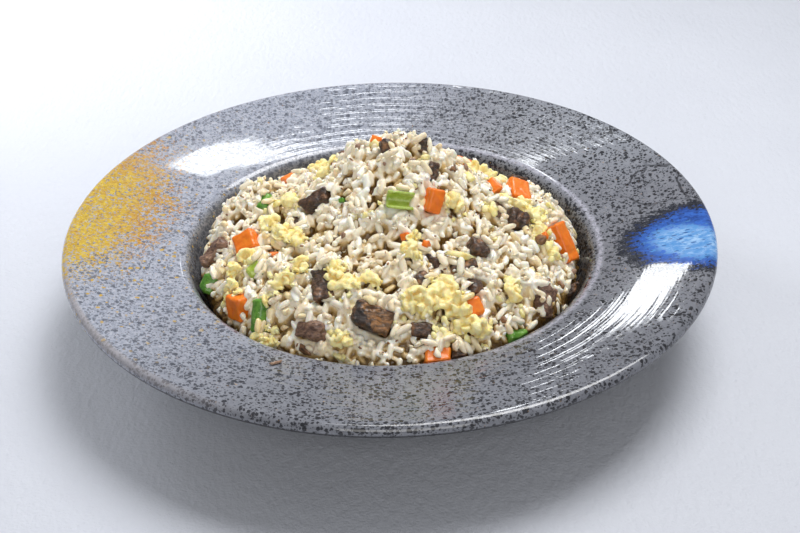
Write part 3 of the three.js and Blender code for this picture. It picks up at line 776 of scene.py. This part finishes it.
# ================= joined copies of one small shape =================
class Shape:
    """The vertices and faces of a small finished piece, which is then put away."""

    def __init__(self, piece):
        mesh = piece.data
        self.points = np.array([v.co for v in mesh.vertices])
        self.corners = np.array([k for polygon in mesh.polygons for k in polygon.vertices])
        self.sides = np.array([len(polygon.vertices) for polygon in mesh.polygons])
        bpy.data.objects.remove(piece)


def joined(name, shapes, spots):
    """One mesh of all the copies. A spot is (shape number, turn, size, place, stain)."""
    points, corners, sides, stains = [], [], [], []
    count = 0
    for number, turn, size, place, stain in spots:
        shape = shapes[number]
        points.append((shape.points * size) @ np.array(turn).T + place)
        corners.append(shape.corners + count)
        sides.append(shape.sides)
        stains.append(np.tile(stain, (len(shape.points), 1)))
        count += len(shape.points)
    points, corners, sides, stains = (np.concatenate(part) for part in (points, corners, sides, stains))
    mesh = bpy.data.meshes.new(name)
    mesh.vertices.add(len(points))
    mesh.vertices.foreach_set("co", points.astype(np.float32).ravel())
    mesh.loops.add(len(corners))
    mesh.loops.foreach_set("vertex_index", corners.astype(np.int32))
    mesh.polygons.add(len(sides))
    mesh.polygons.foreach_set("loop_start", (np.cumsum(sides) - sides).astype(np.int32))
    mesh.polygons.foreach_set("use_smooth", np.ones(len(sides), bool))
    mesh.update(calc_edges=True)
    piece = bpy.data.objects.new(name, mesh)
    bpy.context.scene.collection.objects.link(piece)
    paint(piece, stains)
    return piece


def paint(piece, stains):
    """Gives every vertex its stain: tone, egg, browning and depth in the heap."""
    attribute = piece.data.attributes.new("stain", "FLOAT_COLOR", "POINT")
    attribute.data.foreach_set("color", stains.astype(np.float32).ravel())


def turned(yaw, pitch, roll):
    """The turn that points X along yaw, tips it up by pitch and rolls it."""
    return Matrix.Rotation(yaw, 3, "Z") @ Matrix.Rotation(-pitch, 3, "Y") @ Matrix.Rotation(roll, 3, "X")


# ================= rice =================
def grain_shape(name, bend, taper, dent, cut):
    """One grain, a unit long, lying along X. Where cut isn't None, it is broken off there."""
    bpy.ops.mesh.primitive_uv_sphere_add(segments=10, ring_count=8, radius=0.5, rotation=(0, math.pi / 2, 0))
    grain = named(name)
    bpy.ops.object.transform_apply(location=False, rotation=True, scale=False)
    # The two halves are drawn apart, which leaves the ends blunt.
    apart = 0.18
    sizes = (1 - 2 * apart, GRAIN_WIDTH / GRAIN_LENGTH, GRAIN_THICKNESS / GRAIN_LENGTH)
    with edit_mode(grain):
        bpy.ops.transform.resize(value=sizes)
    for way in (-1, 1):
        with edit_mode(grain, lambda spot: spot.x * way > 0.02):
            bpy.ops.transform.translate(value=(apart * way, 0, 0))
    if cut is not None:
        with edit_mode(grain):
            bpy.ops.mesh.bisect(
                plane_co=(cut, 0, 0), plane_no=(1, 0.5, 0.3), use_fill=True, clear_outer=True
            )
    modify(grain, "SIMPLE_DEFORM", deform_method="TAPER", factor=taper, deform_axis="X")
    modify(grain, "SIMPLE_DEFORM", deform_method="BEND", angle=bend, deform_axis="Z")
    # Each shape has its own dents, because it is dented at a place of its own in the texture.
    offset = (len(bpy.data.textures) * 0.7, 0, 0)
    with edit_mode(grain):
        bpy.ops.transform.translate(value=offset)
    relief(grain, "CLOUDS", 0.22, dent, noise_depth=1)
    with edit_mode(grain):
        bpy.ops.transform.translate(value=(-offset[0], 0, 0))
    return Shape(grain)


# What each kind of grain is called, and its shapes: bend in degrees, taper, depth of the dents, cut.
GRAIN_KINDS = {
    "plump": [(14, 0.12, 0.13, None), (-10, 0.2, 0.17, None), (20, -0.15, 0.15, None)],
    "bent": [(46, -0.2, 0.13, None), (-38, 0.1, 0.16, None)],
    "long": [(-18, 0.25, 0.12, None), (12, -0.3, 0.14, None)],
    "swollen": [(8, -0.1, 0.25, None), (-22, 0.15, 0.22, None)],
    "broken": [(12, 0.15, 0.15, 0.02), (-16, -0.15, 0.18, 0.2), (6, 0.1, 0.2, -0.12)],
}
KIND_SHARES = {"plump": 0.32, "bent": 0.16, "long": 0.17, "swollen": 0.17, "broken": 0.18}


def grain_shapes():
    """All the grains' shapes, by kind."""
    shapes = {}
    for kind, variants in GRAIN_KINDS.items():
        shapes[kind] = [
            grain_shape(f"{kind} grain {k}", math.radians(bend), taper, dent, cut)
            for k, (bend, taper, dent, cut) in enumerate(variants)
        ]
    return shapes


class Pile:
    """The heap's height map, on which grains are laid one at a time."""

    def __init__(self, ground, goal, blocked):
        self.height = ground.copy()
        self.goal = goal
        self.blocked = blocked
        self.grains = []

    def window(self, x, y, reach):
        """The rows and columns round a place."""
        low_column = int((x - reach + MAP_HALF) / MAP_STEP)
        low_row = int((y - reach + MAP_HALF) / MAP_STEP)
        cells = int(2 * reach / MAP_STEP) + 2
        rows = slice(max(0, low_row), low_row + cells)
        columns = slice(max(0, low_column), low_column + cells)
        return rows, columns

    def pose(self, x, y, yaw, tip, length, width, thickness):
        """Lays a grain down at a place, tipped off the slope by tip. Gives how it lies and how hollow."""
        cos, sin = math.cos(yaw), math.sin(yaw)
        arm = 0.34 * length
        ahead = map_value(self.height, x + arm * cos, y + arm * sin)
        behind = map_value(self.height, x - arm * cos, y - arm * sin)
        pitch = math.atan2(ahead - behind, 2 * arm) + tip
        pitch = max(-STEEPEST_PITCH, min(STEEPEST_PITCH, pitch))
        rows, columns = self.window(x, y, length / 2)
        dx = map_line[columns][None, :] - x
        dy = map_line[rows][:, None] - y
        along = dx * cos + dy * sin
        across = dy * cos - dx * sin
        flat = math.cos(pitch)
        room = 1 - (along / (flat * length / 2)) ** 2 - (across / (width / 2)) ** 2
        under = room > 0
        bulge = thickness / 2 / flat * np.sqrt(room[under])
        lift = along[under] * math.tan(pitch)
        ground = self.height[rows, columns][under]
        # The grain is soft and gives way where only a little of it touches.
        centre = np.quantile(ground - lift + bulge, 0.88) - GRAIN_SINK
        hollow = np.abs(centre + lift - bulge - ground).mean()
        blocked = self.blocked[rows, columns][under].mean()
        over = (centre + lift + bulge - self.goal[rows, columns][under]).max()
        return {
            "over": over,
            "spot": (x, y, centre),
            "turn": (yaw, pitch),
            "hollow": hollow,
            "blocked": blocked,
            "cells": (rows, columns, under),
            "top": centre + lift + bulge,
        }

    def keep(self, pose):
        """Leaves a grain where it lies, so that the next ones lie on it."""
        rows, columns, under = pose["cells"]
        heights = self.height[rows, columns]
        heights[under] = np.maximum(heights[under], pose["top"])
        self.grains.append(pose)


def grain_size():
    """Length, width and thickness of a grain."""
    size = random.uniform(0.8, 1.08)
    length = GRAIN_LENGTH * size * random.uniform(0.85, 1.12)
    return length, GRAIN_WIDTH * size * random.uniform(0.85, 1.1), GRAIN_THICKNESS * size


def lay_grain(pile, x, y, yaw, spread, most_blocked, most_over, tip=0.16):
    """Tries a few turns for a grain and keeps the one that lies closest."""
    kind = str(random.choice(list(KIND_SHARES), p=list(KIND_SHARES.values())))
    length, width, thickness = grain_size()
    reach = 0.65 if kind == "broken" else 1
    best = None
    for _ in range(2):
        try_yaw = yaw + random.normal(0, spread)
        lean = random.normal(0, tip)
        pose = pile.pose(x, y, try_yaw, lean, length * reach, width, thickness)
        if pose["blocked"] > most_blocked or pose["over"] > most_over:
            continue
        if best is None or pose["hollow"] < best["hollow"]:
            best = pose
    if best is None:
        return None
    best["kind"] = kind
    best["size"] = (length, width, thickness)
    best["roll"] = random.uniform(-0.7, 0.7)
    pile.keep(best)
    return best


def fill_heap(pile):
    """Lays grains where the pile is lowest under its goal, with some side by side in clumps."""
    open_cells = (pile.goal > 0) & (pile.blocked < 0.5)
    for _ in range(LAYING_ROUNDS):
        lack = np.where(open_cells, pile.goal - pile.height - 0.45 * GRAIN_THICKNESS, 0)
        lack = np.clip(lack, 0, 4 * MM) ** 1.5
        if (lack > 0).sum() < LOW_CELLS_LEFT:
            break
        for _, _, x, y in random_places(lack, ROUND_GRAINS):
            x += random.uniform(-0.5, 0.5) * MAP_STEP
            y += random.uniform(-0.5, 0.5) * MAP_STEP
            most_over = STICK_OUT * random.uniform(0.5, 1)
            tip = random.choice((0.12, 0.3, 0.7))
            yaw = random.uniform(0, math.pi)
            first = lay_grain(pile, x, y, yaw, spread=0.8, most_blocked=0.5, most_over=most_over, tip=tip)
            if first is None or random.random() > 0.5:
                continue
            # A neighbour stuck to its side.
            side = random.choice((-1, 1)) * 0.8 * first["size"][1]
            turn = first["turn"][0]
            mate_x = x - side * math.sin(turn) + random.uniform(-1, 1) * MM
            mate_y = y + side * math.cos(turn) + random.uniform(-1, 1) * MM
            on_map = max(abs(mate_x), abs(mate_y)) < MAP_HALF - GRAIN_LENGTH
            if on_map and map_value(pile.goal, mate_x, mate_y) > 0:
                lay_grain(pile, mate_x, mate_y, turn, spread=0.14, most_blocked=0.5, most_over=most_over)


def stain_of(near_egg, whitest):
    """Tone, egg and browning of a grain, and a depth of 0."""
    tone = float(np.clip(random.normal(0.62, 0.24), 0, 1)) * whitest
    egg = float(near_egg) * random.uniform(0.1, 0.9) if random.random() < 0.6 else 0.0
    if random.random() < 0.1:
        egg = max(egg, random.uniform(0.2, 0.7))
    brown = random.uniform(0.4, 1.0) if random.random() < 0.09 else 0.0
    return tone, egg, brown, 0.0


def spot_of(grain, shapes):
    """Where and how large one laid grain's shape is copied."""
    length, width, thickness = grain["size"]
    # The shapes are a unit long, and narrower and thinner than that by a grain's proportions.
    scale = np.array(
        (length, width * GRAIN_LENGTH / GRAIN_WIDTH, thickness * GRAIN_LENGTH / GRAIN_THICKNESS)
    )
    turn = turned(*grain["turn"], grain["roll"])
    return int(random.integers(len(shapes))), turn, scale, np.array(grain["spot"]), grain["stain"]


def make_core(pile):
    """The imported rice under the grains, a little below their tops."""
    core = copy_of("rice_heap", "packed rice")
    remesh(core, MM, 1)
    laid = blurred(np.where(pile.goal > 0, pile.height, NOWHERE), 3) - GAP_DEPTH
    surface = np.maximum(laid, blurred(np.where(pile.goal > 0, pile.goal, NOWHERE), 3) - DEEPEST_GAP)
    for vertex in core.data.vertices:
        x, y, z = vertex.co
        if max(abs(x), abs(y)) < MAP_HALF:
            vertex.co.z = min(z, max(map_value(surface, x, y), FLOOR_TOP + MM))
    core.data.update()
    remesh(core, MM, 1)
    return core


def wedge_of(core, name, start, end):
    """The part of the core between two angles, closed, and a little more on both sides."""
    wedge = bpy.data.objects.new(name, core.data.copy())
    bpy.context.scene.collection.objects.link(wedge)
    wedge.data.name = name
    for angle, way in ((start, 1), (end, -1)):
        inwards = Vector((-math.sin(angle), math.cos(angle), 0)) * way
        with edit_mode(wedge):
            bpy.ops.mesh.bisect(
                plane_co=inwards * -WEDGE_OVERLAP, plane_no=inwards, use_fill=True, clear_inner=True
            )
    return wedge


def make_stuck_rice(pile, grains, shapes, material):
    """The grains that stick together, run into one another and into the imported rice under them."""
    core = make_core(pile)
    level = mended(pile.height, pile.goal > 0, 130)
    tree = KDTree(3 * len(grains))
    for number, grain in enumerate(grains):
        yaw, pitch = grain["turn"]
        way = Vector((math.cos(yaw) * math.cos(pitch), math.sin(yaw) * math.cos(pitch), math.sin(pitch)))
        for step in (-0.3, 0, 0.3):
            tree.insert(Vector(grain["spot"]) + way * step * grain["size"][0], number)
    tree.balance()
    flat_shapes = [shape for kind in shapes.values() for shape in kind]
    first_shape = {}
    for kind, variants in shapes.items():
        first_shape[kind] = flat_shapes.index(variants[0])
    for number in range(WEDGES):
        start, end = (2 * math.pi * (number + k) / WEDGES for k in (0, 1))
        wedge = wedge_of(core, f"stuck_rice_{number + 1}", start, end)
        spots = []
        for grain in grains:
            x, y, _ = grain["spot"]
            if start <= math.atan2(y, x) % (2 * math.pi) < end:
                shape, *rest = spot_of(grain, shapes[grain["kind"]])
                spots.append((first_shape[grain["kind"]] + shape, *rest))
        loose = joined("grains of the wedge", flat_shapes, spots)
        only(wedge)
        loose.select_set(True)
        bpy.ops.object.join()
        remesh(wedge, STICK_STEP, 1)
        modify(wedge, "DECIMATE", ratio=KEPT_FACES)
        stains = np.zeros((len(wedge.data.vertices), 4))
        for k, vertex in enumerate(wedge.data.vertices):
            stains[k] = grains[tree.find(vertex.co)[1]]["stain"]
            x, y, z = vertex.co
            # The depth under the heap's level, from which the material paints shade in the gaps.
            stains[k, 3] = min(1, max(0, (map_value(level, x, y) - z) / DARK_DEPTH))
        paint(wedge, stains)
        bpy.ops.object.shade_smooth()
        settle(wedge, "rice", material, "rice_heap")
    bpy.data.objects.remove(core)


def make_rice(pile, near_egg):
    """The stuck rice, and the loose grains on it as one piece for each kind. Gives their material."""
    material = cooked_rice()
    shapes = grain_shapes()
    first_loose = int(len(pile.grains) * (1 - LOOSE_SHARE))
    for number, grain in enumerate(pile.grains):
        whitest = 1 if number < first_loose else LOOSE_TONE
        grain["stain"] = stain_of(map_value(near_egg, *grain["spot"][:2]), whitest)
    make_stuck_rice(pile, pile.grains[:first_loose], shapes, material)
    for kind, variants in shapes.items():
        spots = [spot_of(grain, variants) for grain in pile.grains[first_loose:] if grain["kind"] == kind]
        piece = joined(f"{kind}_rice_grains", variants, spots)
        settle(piece, "rice", material, "rice_heap")
    return material


# ================= toppings =================
def make_firm(node, material, slot, cell, clouds):
    """A topping cut from its solid: evened, its edges worn, its surface broken up by clouds."""
    piece = copy_of(node, f"{node}_piece")
    remesh(piece, cell, 7)
    for size, strength in clouds:
        relief(piece, "CLOUDS", size * MM, strength * MM)
    settle(piece, slot, material, node)


def make_egg(node, material):
    """A clump of soft curds: puffed, folded and torn."""
    piece = copy_of(node, f"{node}_curds")
    remesh(piece, 0.6 * MM, 3)
    relief(piece, "CLOUDS", 5.5 * MM, 5 * MM, 0.45, noise_depth=1)
    remesh(piece, 0.42 * MM, 2)
    # Wavy folds with creases between them, and small curds.
    relief(piece, "MARBLE", 8 * MM, 2.0 * MM, 0.6, turbulence=18, noise_depth=1, marble_type="SHARP")
    relief(piece, "VORONOI", 2.6 * MM, -0.8 * MM, 0.4)
    relief(piece, "CLOUDS", 1.6 * MM, 0.7 * MM, 0.5, noise_depth=1)
    modify(piece, "SMOOTH", factor=0.5, iterations=1)
    settle(piece, "egg", material, node)


def nodes_named(start):
    """The solids whose names start like this."""
    return sorted(name for name in frame["nodes"] if name.startswith(start))


# Dark, light and torn edge of each meat.
DARK_MEAT_COLOURS = ((0.014, 0.008, 0.006), (0.105, 0.046, 0.02), (0.38, 0.18, 0.07))
CUT_MEAT_COLOURS = ((0.01, 0.007, 0.006), (0.045, 0.022, 0.014), (0.2, 0.09, 0.035))
PALE_MEAT_COLOURS = ((0.1, 0.05, 0.035), (0.3, 0.17, 0.11), (0.45, 0.28, 0.18))

# Size and depth, in millimetres, of the clouds that break up each surface.
CARROT_CLOUDS = [(8, 1.6), (2.5, 0.4)]
BEAN_CLOUDS = [(3, 0.4)]
MEAT_CLOUDS = [(7, 3.6), (2.2, 0.9)]


def make_toppings():
    """Carrot, green pieces, meat and egg. Gives the materials that the crumbs share."""
    carrot = cooked_carrot()
    green = cooked_bean("green bean skin", (0.055, 0.19, 0.012), (0.17, 0.37, 0.045))
    olive = cooked_bean("pale green stalk", (0.3, 0.43, 0.03), (0.5, 0.6, 0.13))
    dark_meat = braised_meat("dark braised meat", *DARK_MEAT_COLOURS)
    cut_meat = braised_meat("cut braised meat", *CUT_MEAT_COLOURS, CUT_MEAT)
    pale_meat = braised_meat("pale braised meat", *PALE_MEAT_COLOURS)
    egg = scrambled_egg()
    for node in nodes_named("carrot_"):
        make_firm(node, carrot, "carrot", 0.4 * MM, CARROT_CLOUDS)
    for node in nodes_named("bean_"):
        material = olive if node in PALE_STALKS else green
        make_firm(node, material, "green_bean", 0.38 * MM, BEAN_CLOUDS)
    for node in nodes_named("meat_"):
        material = dark_meat
        if node in PALE_MEAT:
            material = pale_meat
        if node == CUT_MEAT:
            material = cut_meat
        make_firm(node, material, "meat", 0.4 * MM, MEAT_CLOUDS)
    for node in nodes_named("egg_"):
        make_egg(node, egg)
    return {"carrot": carrot, "green": green, "meat": dark_meat, "pale_meat": pale_meat, "egg": egg}


# ================= crumbs =================
def scrap_shape(name, level, flat, size, strength):
    """A ragged scrap, a unit across."""
    bpy.ops.mesh.primitive_ico_sphere_add(subdivisions=level, radius=0.5)
    scrap = named(name)
    relief(scrap, "CLOUDS", size, strength, noise_depth=1)
    with edit_mode(scrap):
        bpy.ops.transform.resize(value=(1, 0.7, flat))
    return Shape(scrap)


def cut_shape(name):
    """A small cut cube, a unit across, its corners worn."""
    bpy.ops.mesh.primitive_cube_add(size=0.9)
    cube = named(name)
    with edit_mode(cube):
        bpy.ops.mesh.bevel(offset=0.13, segments=2, affect="EDGES")
        bpy.ops.mesh.subdivide(number_cuts=1)
    relief(cube, "CLOUDS", 0.6, 0.3, noise_depth=1)
    with edit_mode(cube):
        bpy.ops.transform.resize(value=(1, 0.7, 1))
    return Shape(cube)


def slope_turn(heights, x, y, yaw):
    """A turn whose Z stands on the slope of a map."""
    step = 1.5 * MM
    slope_x = (map_value(heights, x + step, y) - map_value(heights, x - step, y)) / (2 * step)
    slope_y = (map_value(heights, x, y + step) - map_value(heights, x, y - step)) / (2 * step)
    slope_x, slope_y = (max(-1.5, min(1.5, s)) for s in (slope_x, slope_y))
    up = Vector((-slope_x, -slope_y, 1)).normalized()
    return up.to_track_quat("Z", "Y").to_matrix() @ Matrix.Rotation(yaw, 3, "Z")


def scatter(name, slot, material, shapes, heights, weights, count, sizes, sink):
    """Copies of some scraps lying on the map, thicker where the weights are high."""
    spots = []
    for row, column, x, y in random_places(weights, count):
        size = random.uniform(*sizes) * MM
        turn = slope_turn(heights, x, y, random.uniform(0, 2 * math.pi)) @ turned(
            0, random.normal(0, 0.35), random.normal(0, 0.35)
        )
        place = np.array((x, y, heights[row, column] + (0.25 - sink) * size))
        scale = size * random.uniform(0.75, 1.25, 3)
        spots.append((int(random.integers(len(shapes))), turn, scale, place, (random.random(), 0, 0, 0)))
    settle(joined(name, shapes, spots), slot, material)


# x, y, length, width and turn in millimetres and degrees
CARROT_BITS = [
    (-52, -26, 4.5, 4, 20),
    (-5, 13, 5, 4, 0),
    (7, -37, 4, 3.5, 30),
    (16, -43, 3, 4.5, 0),
    (23, -45, 4, 3.5, 50),
    (70, -19, 3, 3, 10),
    (49, 9, 8, 6, 20),
    (-66, 1, 7, 2, 55),
]
GREEN_BITS = [(-18, -22, 3.2, 2.8, 10), (-21, -13, 3, 2.6, 60)]
MEAT_BITS = [
    (48, -68, 3.6, 2.8, 10),
    (68, -22, 5, 4.4, 40),
    (76, -33, 4.8, 3.8, 10),
    (-38, -76, 9, 2.8, -8),
    (30, 1, 7.5, 3.4, -8),
    (-52, -58, 4, 2, 30),
    (-70, -10, 5, 1.6, 60),
]
EGG_BITS = [
    (-26, -75, 6, 4.5, 0),
    (-22, -78, 5, 4, 40),
    (31, -45, 15, 4.5, 28),
    (-40, -40, 8, 6, 10),
    (62, -36, 8, 6.5, 20),
    (37, 5, 7.5, 7, 0),
    (-6, 12, 7, 5.5, 0),
    (17, -4, 5, 4.5, 0),
    (-13, -47, 5, 4.5, 30),
]

RIM_CRUMB_SPOT = np.array((-48.2, -95.4, 41.2)) * MM
RIM_CRUMB_SIZE = np.array((5.5, 2.6, 2.4)) * MM


def place_bits(name, slot, material, shape, heights, bits, thickness):
    """Single scraps at chosen places on the heap."""
    spots = []
    for x, y, length, width, degrees in bits:
        x, y = x * MM, y * MM
        turn = slope_turn(heights, x, y, math.radians(degrees))
        scale = np.array((length, width / 0.7, thickness * min(length, width))) * MM
        place = np.array((x, y, map_value(heights, x, y) + 0.1 * scale[2]))
        spots.append((0, turn, scale, place, (0.5, 0, 0, 0)))
    settle(joined(name, [shape], spots), slot, material)


# ================= the heap =================
def make_heap():
    """The mound of rice. Gives its material and the maps on which the crumbs are laid."""
    heap_top = top_of([frame["nodes"]["rice_heap"]])
    firm_nodes = nodes_named("carrot_") + nodes_named("bean_") + nodes_named("meat_")
    firm = top_of([frame["nodes"][node] for node in firm_nodes])
    eggs = top_of([o for o in bpy.data.objects if o.name.endswith("_curds")])
    dish = top_of([bpy.data.objects["glazed_plate"]])
    inside = heap_top > 0
    covered = firm > 0
    mound = mended(heap_top, inside & ~covered, 30)
    mound = np.where(covered, mended(heap_top, inside & ~covered, 300), mound)
    # The mound is of clumps with narrow crevices between them.
    # None reaches the heap's edge, where the plate would show through.
    away_from_edge = np.clip((blurred(inside.astype(float), 260) - 0.72) / 0.25, 0, 1)
    crevices = np.exp(-((lumps(13 * MM) / 0.2) ** 2)) * away_from_edge
    relief_height = LUMP_HEIGHT * (lumps(14 * MM) + 0.6 * lumps(5.5 * MM)) - CREVICE_DEPTH * crevices
    # The rice hugs the toppings.
    hugging = np.clip(blurred(covered.astype(float), 40) * 5, 0, 1)
    relief_height = relief_height * (1 - hugging) + HUG_HEIGHT * hugging
    goal = np.where(inside, mound + relief_height, 0)
    slope_y, slope_x = np.gradient(blurred(np.where(inside, mound, dish), 60), MAP_STEP)
    steepness = np.sqrt(1 + np.minimum(slope_x**2 + slope_y**2, 2))
    core_top = np.where(inside, mound - LAID_DEPTH * steepness, NOWHERE)
    # Grains may press a little into the toppings.
    blocked = (blurred((firm > mound - 1.5 * MM).astype(float), 8) > 0.8).astype(float)
    pile = Pile(np.maximum(core_top, dish), goal, blocked)
    fill_heap(pile)
    laid_height = pile.height.copy()
    near_egg = np.clip(blurred((eggs > 0).astype(float), 30) * 2.5, 0, 1)
    # A few grains lie over the edges of the toppings.
    pile.height = np.maximum.reduce([pile.height, firm, eggs])
    pile.goal = pile.height + 2 * MM
    pile.blocked = np.zeros_like(blocked)
    edge = blurred(blocked, 3)
    chances = np.where(inside & (edge > 0.08) & (edge < 0.6), 1.0, 0)
    for _, _, x, y in random_places(chances, EDGE_GRAINS):
        yaw = random.uniform(0, math.pi)
        lay_grain(pile, x, y, yaw, spread=0.8, most_blocked=1, most_over=EDGE_STICK_OUT, tip=0.1)
    topped_height = pile.height
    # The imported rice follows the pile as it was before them.
    pile.height = laid_height
    pile.goal = goal
    rice = make_rice(pile, near_egg)
    bare = inside & (eggs < 0) & ~covered
    return rice, topped_height, bare, near_egg


def make_crumbs(finishes, rice, heights, bare, near_egg):
    """All that is too small for a solid of its own, laid on the map of heights."""
    curd = [scrap_shape(f"curd {k}", 2, 0.6, 0.3 + 0.1 * k, 0.9) for k in range(3)]
    fleck = [scrap_shape(f"fleck {k}", 1, 0.3, 0.4, 0.8) for k in range(2)]
    chunk = cut_shape("chunk")
    egg, meat, pale_meat = (finishes[key] for key in ("egg", "meat", "pale_meat"))
    by_egg = np.where(bare, near_egg**2 + 0.012, 0)
    evenly = np.where(bare, 1.0, 0)
    scatter("egg_crumbs", "egg", egg, curd, heights, by_egg, count=260, sizes=(1.6, 4.2), sink=0.1)
    scatter("rice_crumbs", "rice", rice, curd, heights, evenly, count=700, sizes=(1.2, 3.0), sink=0.1)
    scatter("brown_flecks", "meat", meat, fleck, heights, evenly, count=300, sizes=(0.7, 2.4), sink=0.1)
    scatter("meat_crumbs", "meat", pale_meat, curd, heights, evenly, count=36, sizes=(2.0, 4.2), sink=0.15)
    place_bits("carrot_scraps", "carrot", finishes["carrot"], chunk, heights, CARROT_BITS, thickness=1.0)
    place_bits("green_scraps", "green_bean", finishes["green"], chunk, heights, GREEN_BITS, thickness=0.9)
    place_bits("meat_scraps", "meat", meat, curd[0], heights, MEAT_BITS, thickness=1.0)
    rim_crumb = (0, turned(0.5, -0.1, 0), RIM_CRUMB_SIZE, RIM_CRUMB_SPOT, (0.5, 0, 0, 0))
    settle(joined("crumb_on_the_rim", [curd[2]], [rim_crumb]), "meat", pale_meat)
    place_bits("egg_scraps", "egg", egg, curd[1], heights, EGG_BITS, thickness=0.9)


# ================= stage =================
def add_floor():
    """The board, with the plate's foot on it."""
    bpy.ops.mesh.primitive_plane_add(size=6)
    floor = named("pale_board")
    floor.data.materials.append(pale_board())


def add_camera():
    """The camera, in front of the plate, above it and a little rolled."""
    before = CAMERA_DISTANCE * math.cos(CAMERA_ELEVATION)
    above = CAMERA_DISTANCE * math.sin(CAMERA_ELEVATION)
    spot = Vector((0, -before, RIM_HEIGHT + above))
    forward = (CAMERA_AIM - spot).normalized()
    right = forward.cross(Vector((0, 0, 1))).normalized()
    up = right.cross(forward)
    cos, sin = math.cos(CAMERA_ROLL), math.sin(CAMERA_ROLL)
    camera_right = cos * right + sin * up
    camera_up = cos * up - sin * right
    data = bpy.data.cameras.new("camera")
    data.lens = LENS
    data.sensor_width = SENSOR_WIDTH
    data.clip_start = 0.01
    camera = bpy.data.objects.new("camera", data)
    turn = Matrix((camera_right, camera_up, -forward)).transposed().to_4x4()
    camera.matrix_world = Matrix.Translation(spot) @ turn
    bpy.context.scene.collection.objects.link(camera)
    bpy.context.scene.camera = camera


def add_softbox(
    name, spot, size, power, colour=(1, 1, 1), aim=(0, 0, 0.04), tilt=0, gloss=True, diffuse=True
):
    """A rectangular light at a spot, facing a point."""
    data = bpy.data.lights.new(name, "AREA")
    data.shape = "RECTANGLE"
    data.size, data.size_y = size
    data.energy = power
    data.color = colour
    light = bpy.data.objects.new(name, data)
    back = (Vector(spot) - Vector(aim)).normalized()
    turn = back.to_track_quat("Z", "Y").to_matrix().to_4x4()
    light.matrix_world = Matrix.Translation(spot) @ turn @ Matrix.Rotation(tilt, 4, "Z")
    light.visible_camera = False
    light.visible_glossy = gloss
    light.visible_diffuse = diffuse
    bpy.context.scene.collection.objects.link(light)
    return light


def add_strip(name, x, z, width, height, power, tilt=0):
    """An upright strip of light behind the plate, facing the camera's side."""
    spot = (x, STRIP_DISTANCE, z)
    add_softbox(name, spot, (width, height), power, STRIP_COLOUR, (x, 0, z), tilt, diffuse=False)


def add_lights():
    """A key light from above the back, two softer ones, the strips and a pale surrounding."""
    key = add_softbox("key softbox", (0.36, 0.5, 1.4), size=(0.9, 0.9), power=4.35)
    key.data.spread = math.radians(70)
    warm = (1, 0.98, 0.94)
    add_softbox("front softbox", (0.08, -1.6, 0.95), size=(1.2, 0.9), power=11, colour=warm)
    left_back = add_softbox(
        "left back softbox",
        (-0.5, 0.6, 0.3),
        size=(0.25, 0.25),
        power=2.0,
        colour=(0.95, 0.97, 1),
        aim=(-0.27, 0.37, 0),
        gloss=False,
    )
    left_back.data.spread = math.radians(110)
    # The strips show as reflections in the glaze.
    lean = math.radians(13)
    add_strip("left strip", -0.003, 1.113, width=0.019, height=0.154, power=0.11, tilt=lean)
    add_strip("right strip", 0.096, 0.65, width=0.028, height=0.15, power=0.17)
    world = bpy.data.worlds.new("pale studio")
    world.use_nodes = True
    background = world.node_tree.nodes["Background"]
    background.inputs["Color"].default_value = (0.95, 0.97, 1, 1)
    background.inputs["Strength"].default_value = 0.28
    bpy.context.scene.world = world


add_camera()
add_floor()
add_lights()
make_plate()
finishes = make_toppings()
heap = make_heap()
make_crumbs(finishes, *heap)
bpy.context.scene.view_settings.view_transform = "Standard"
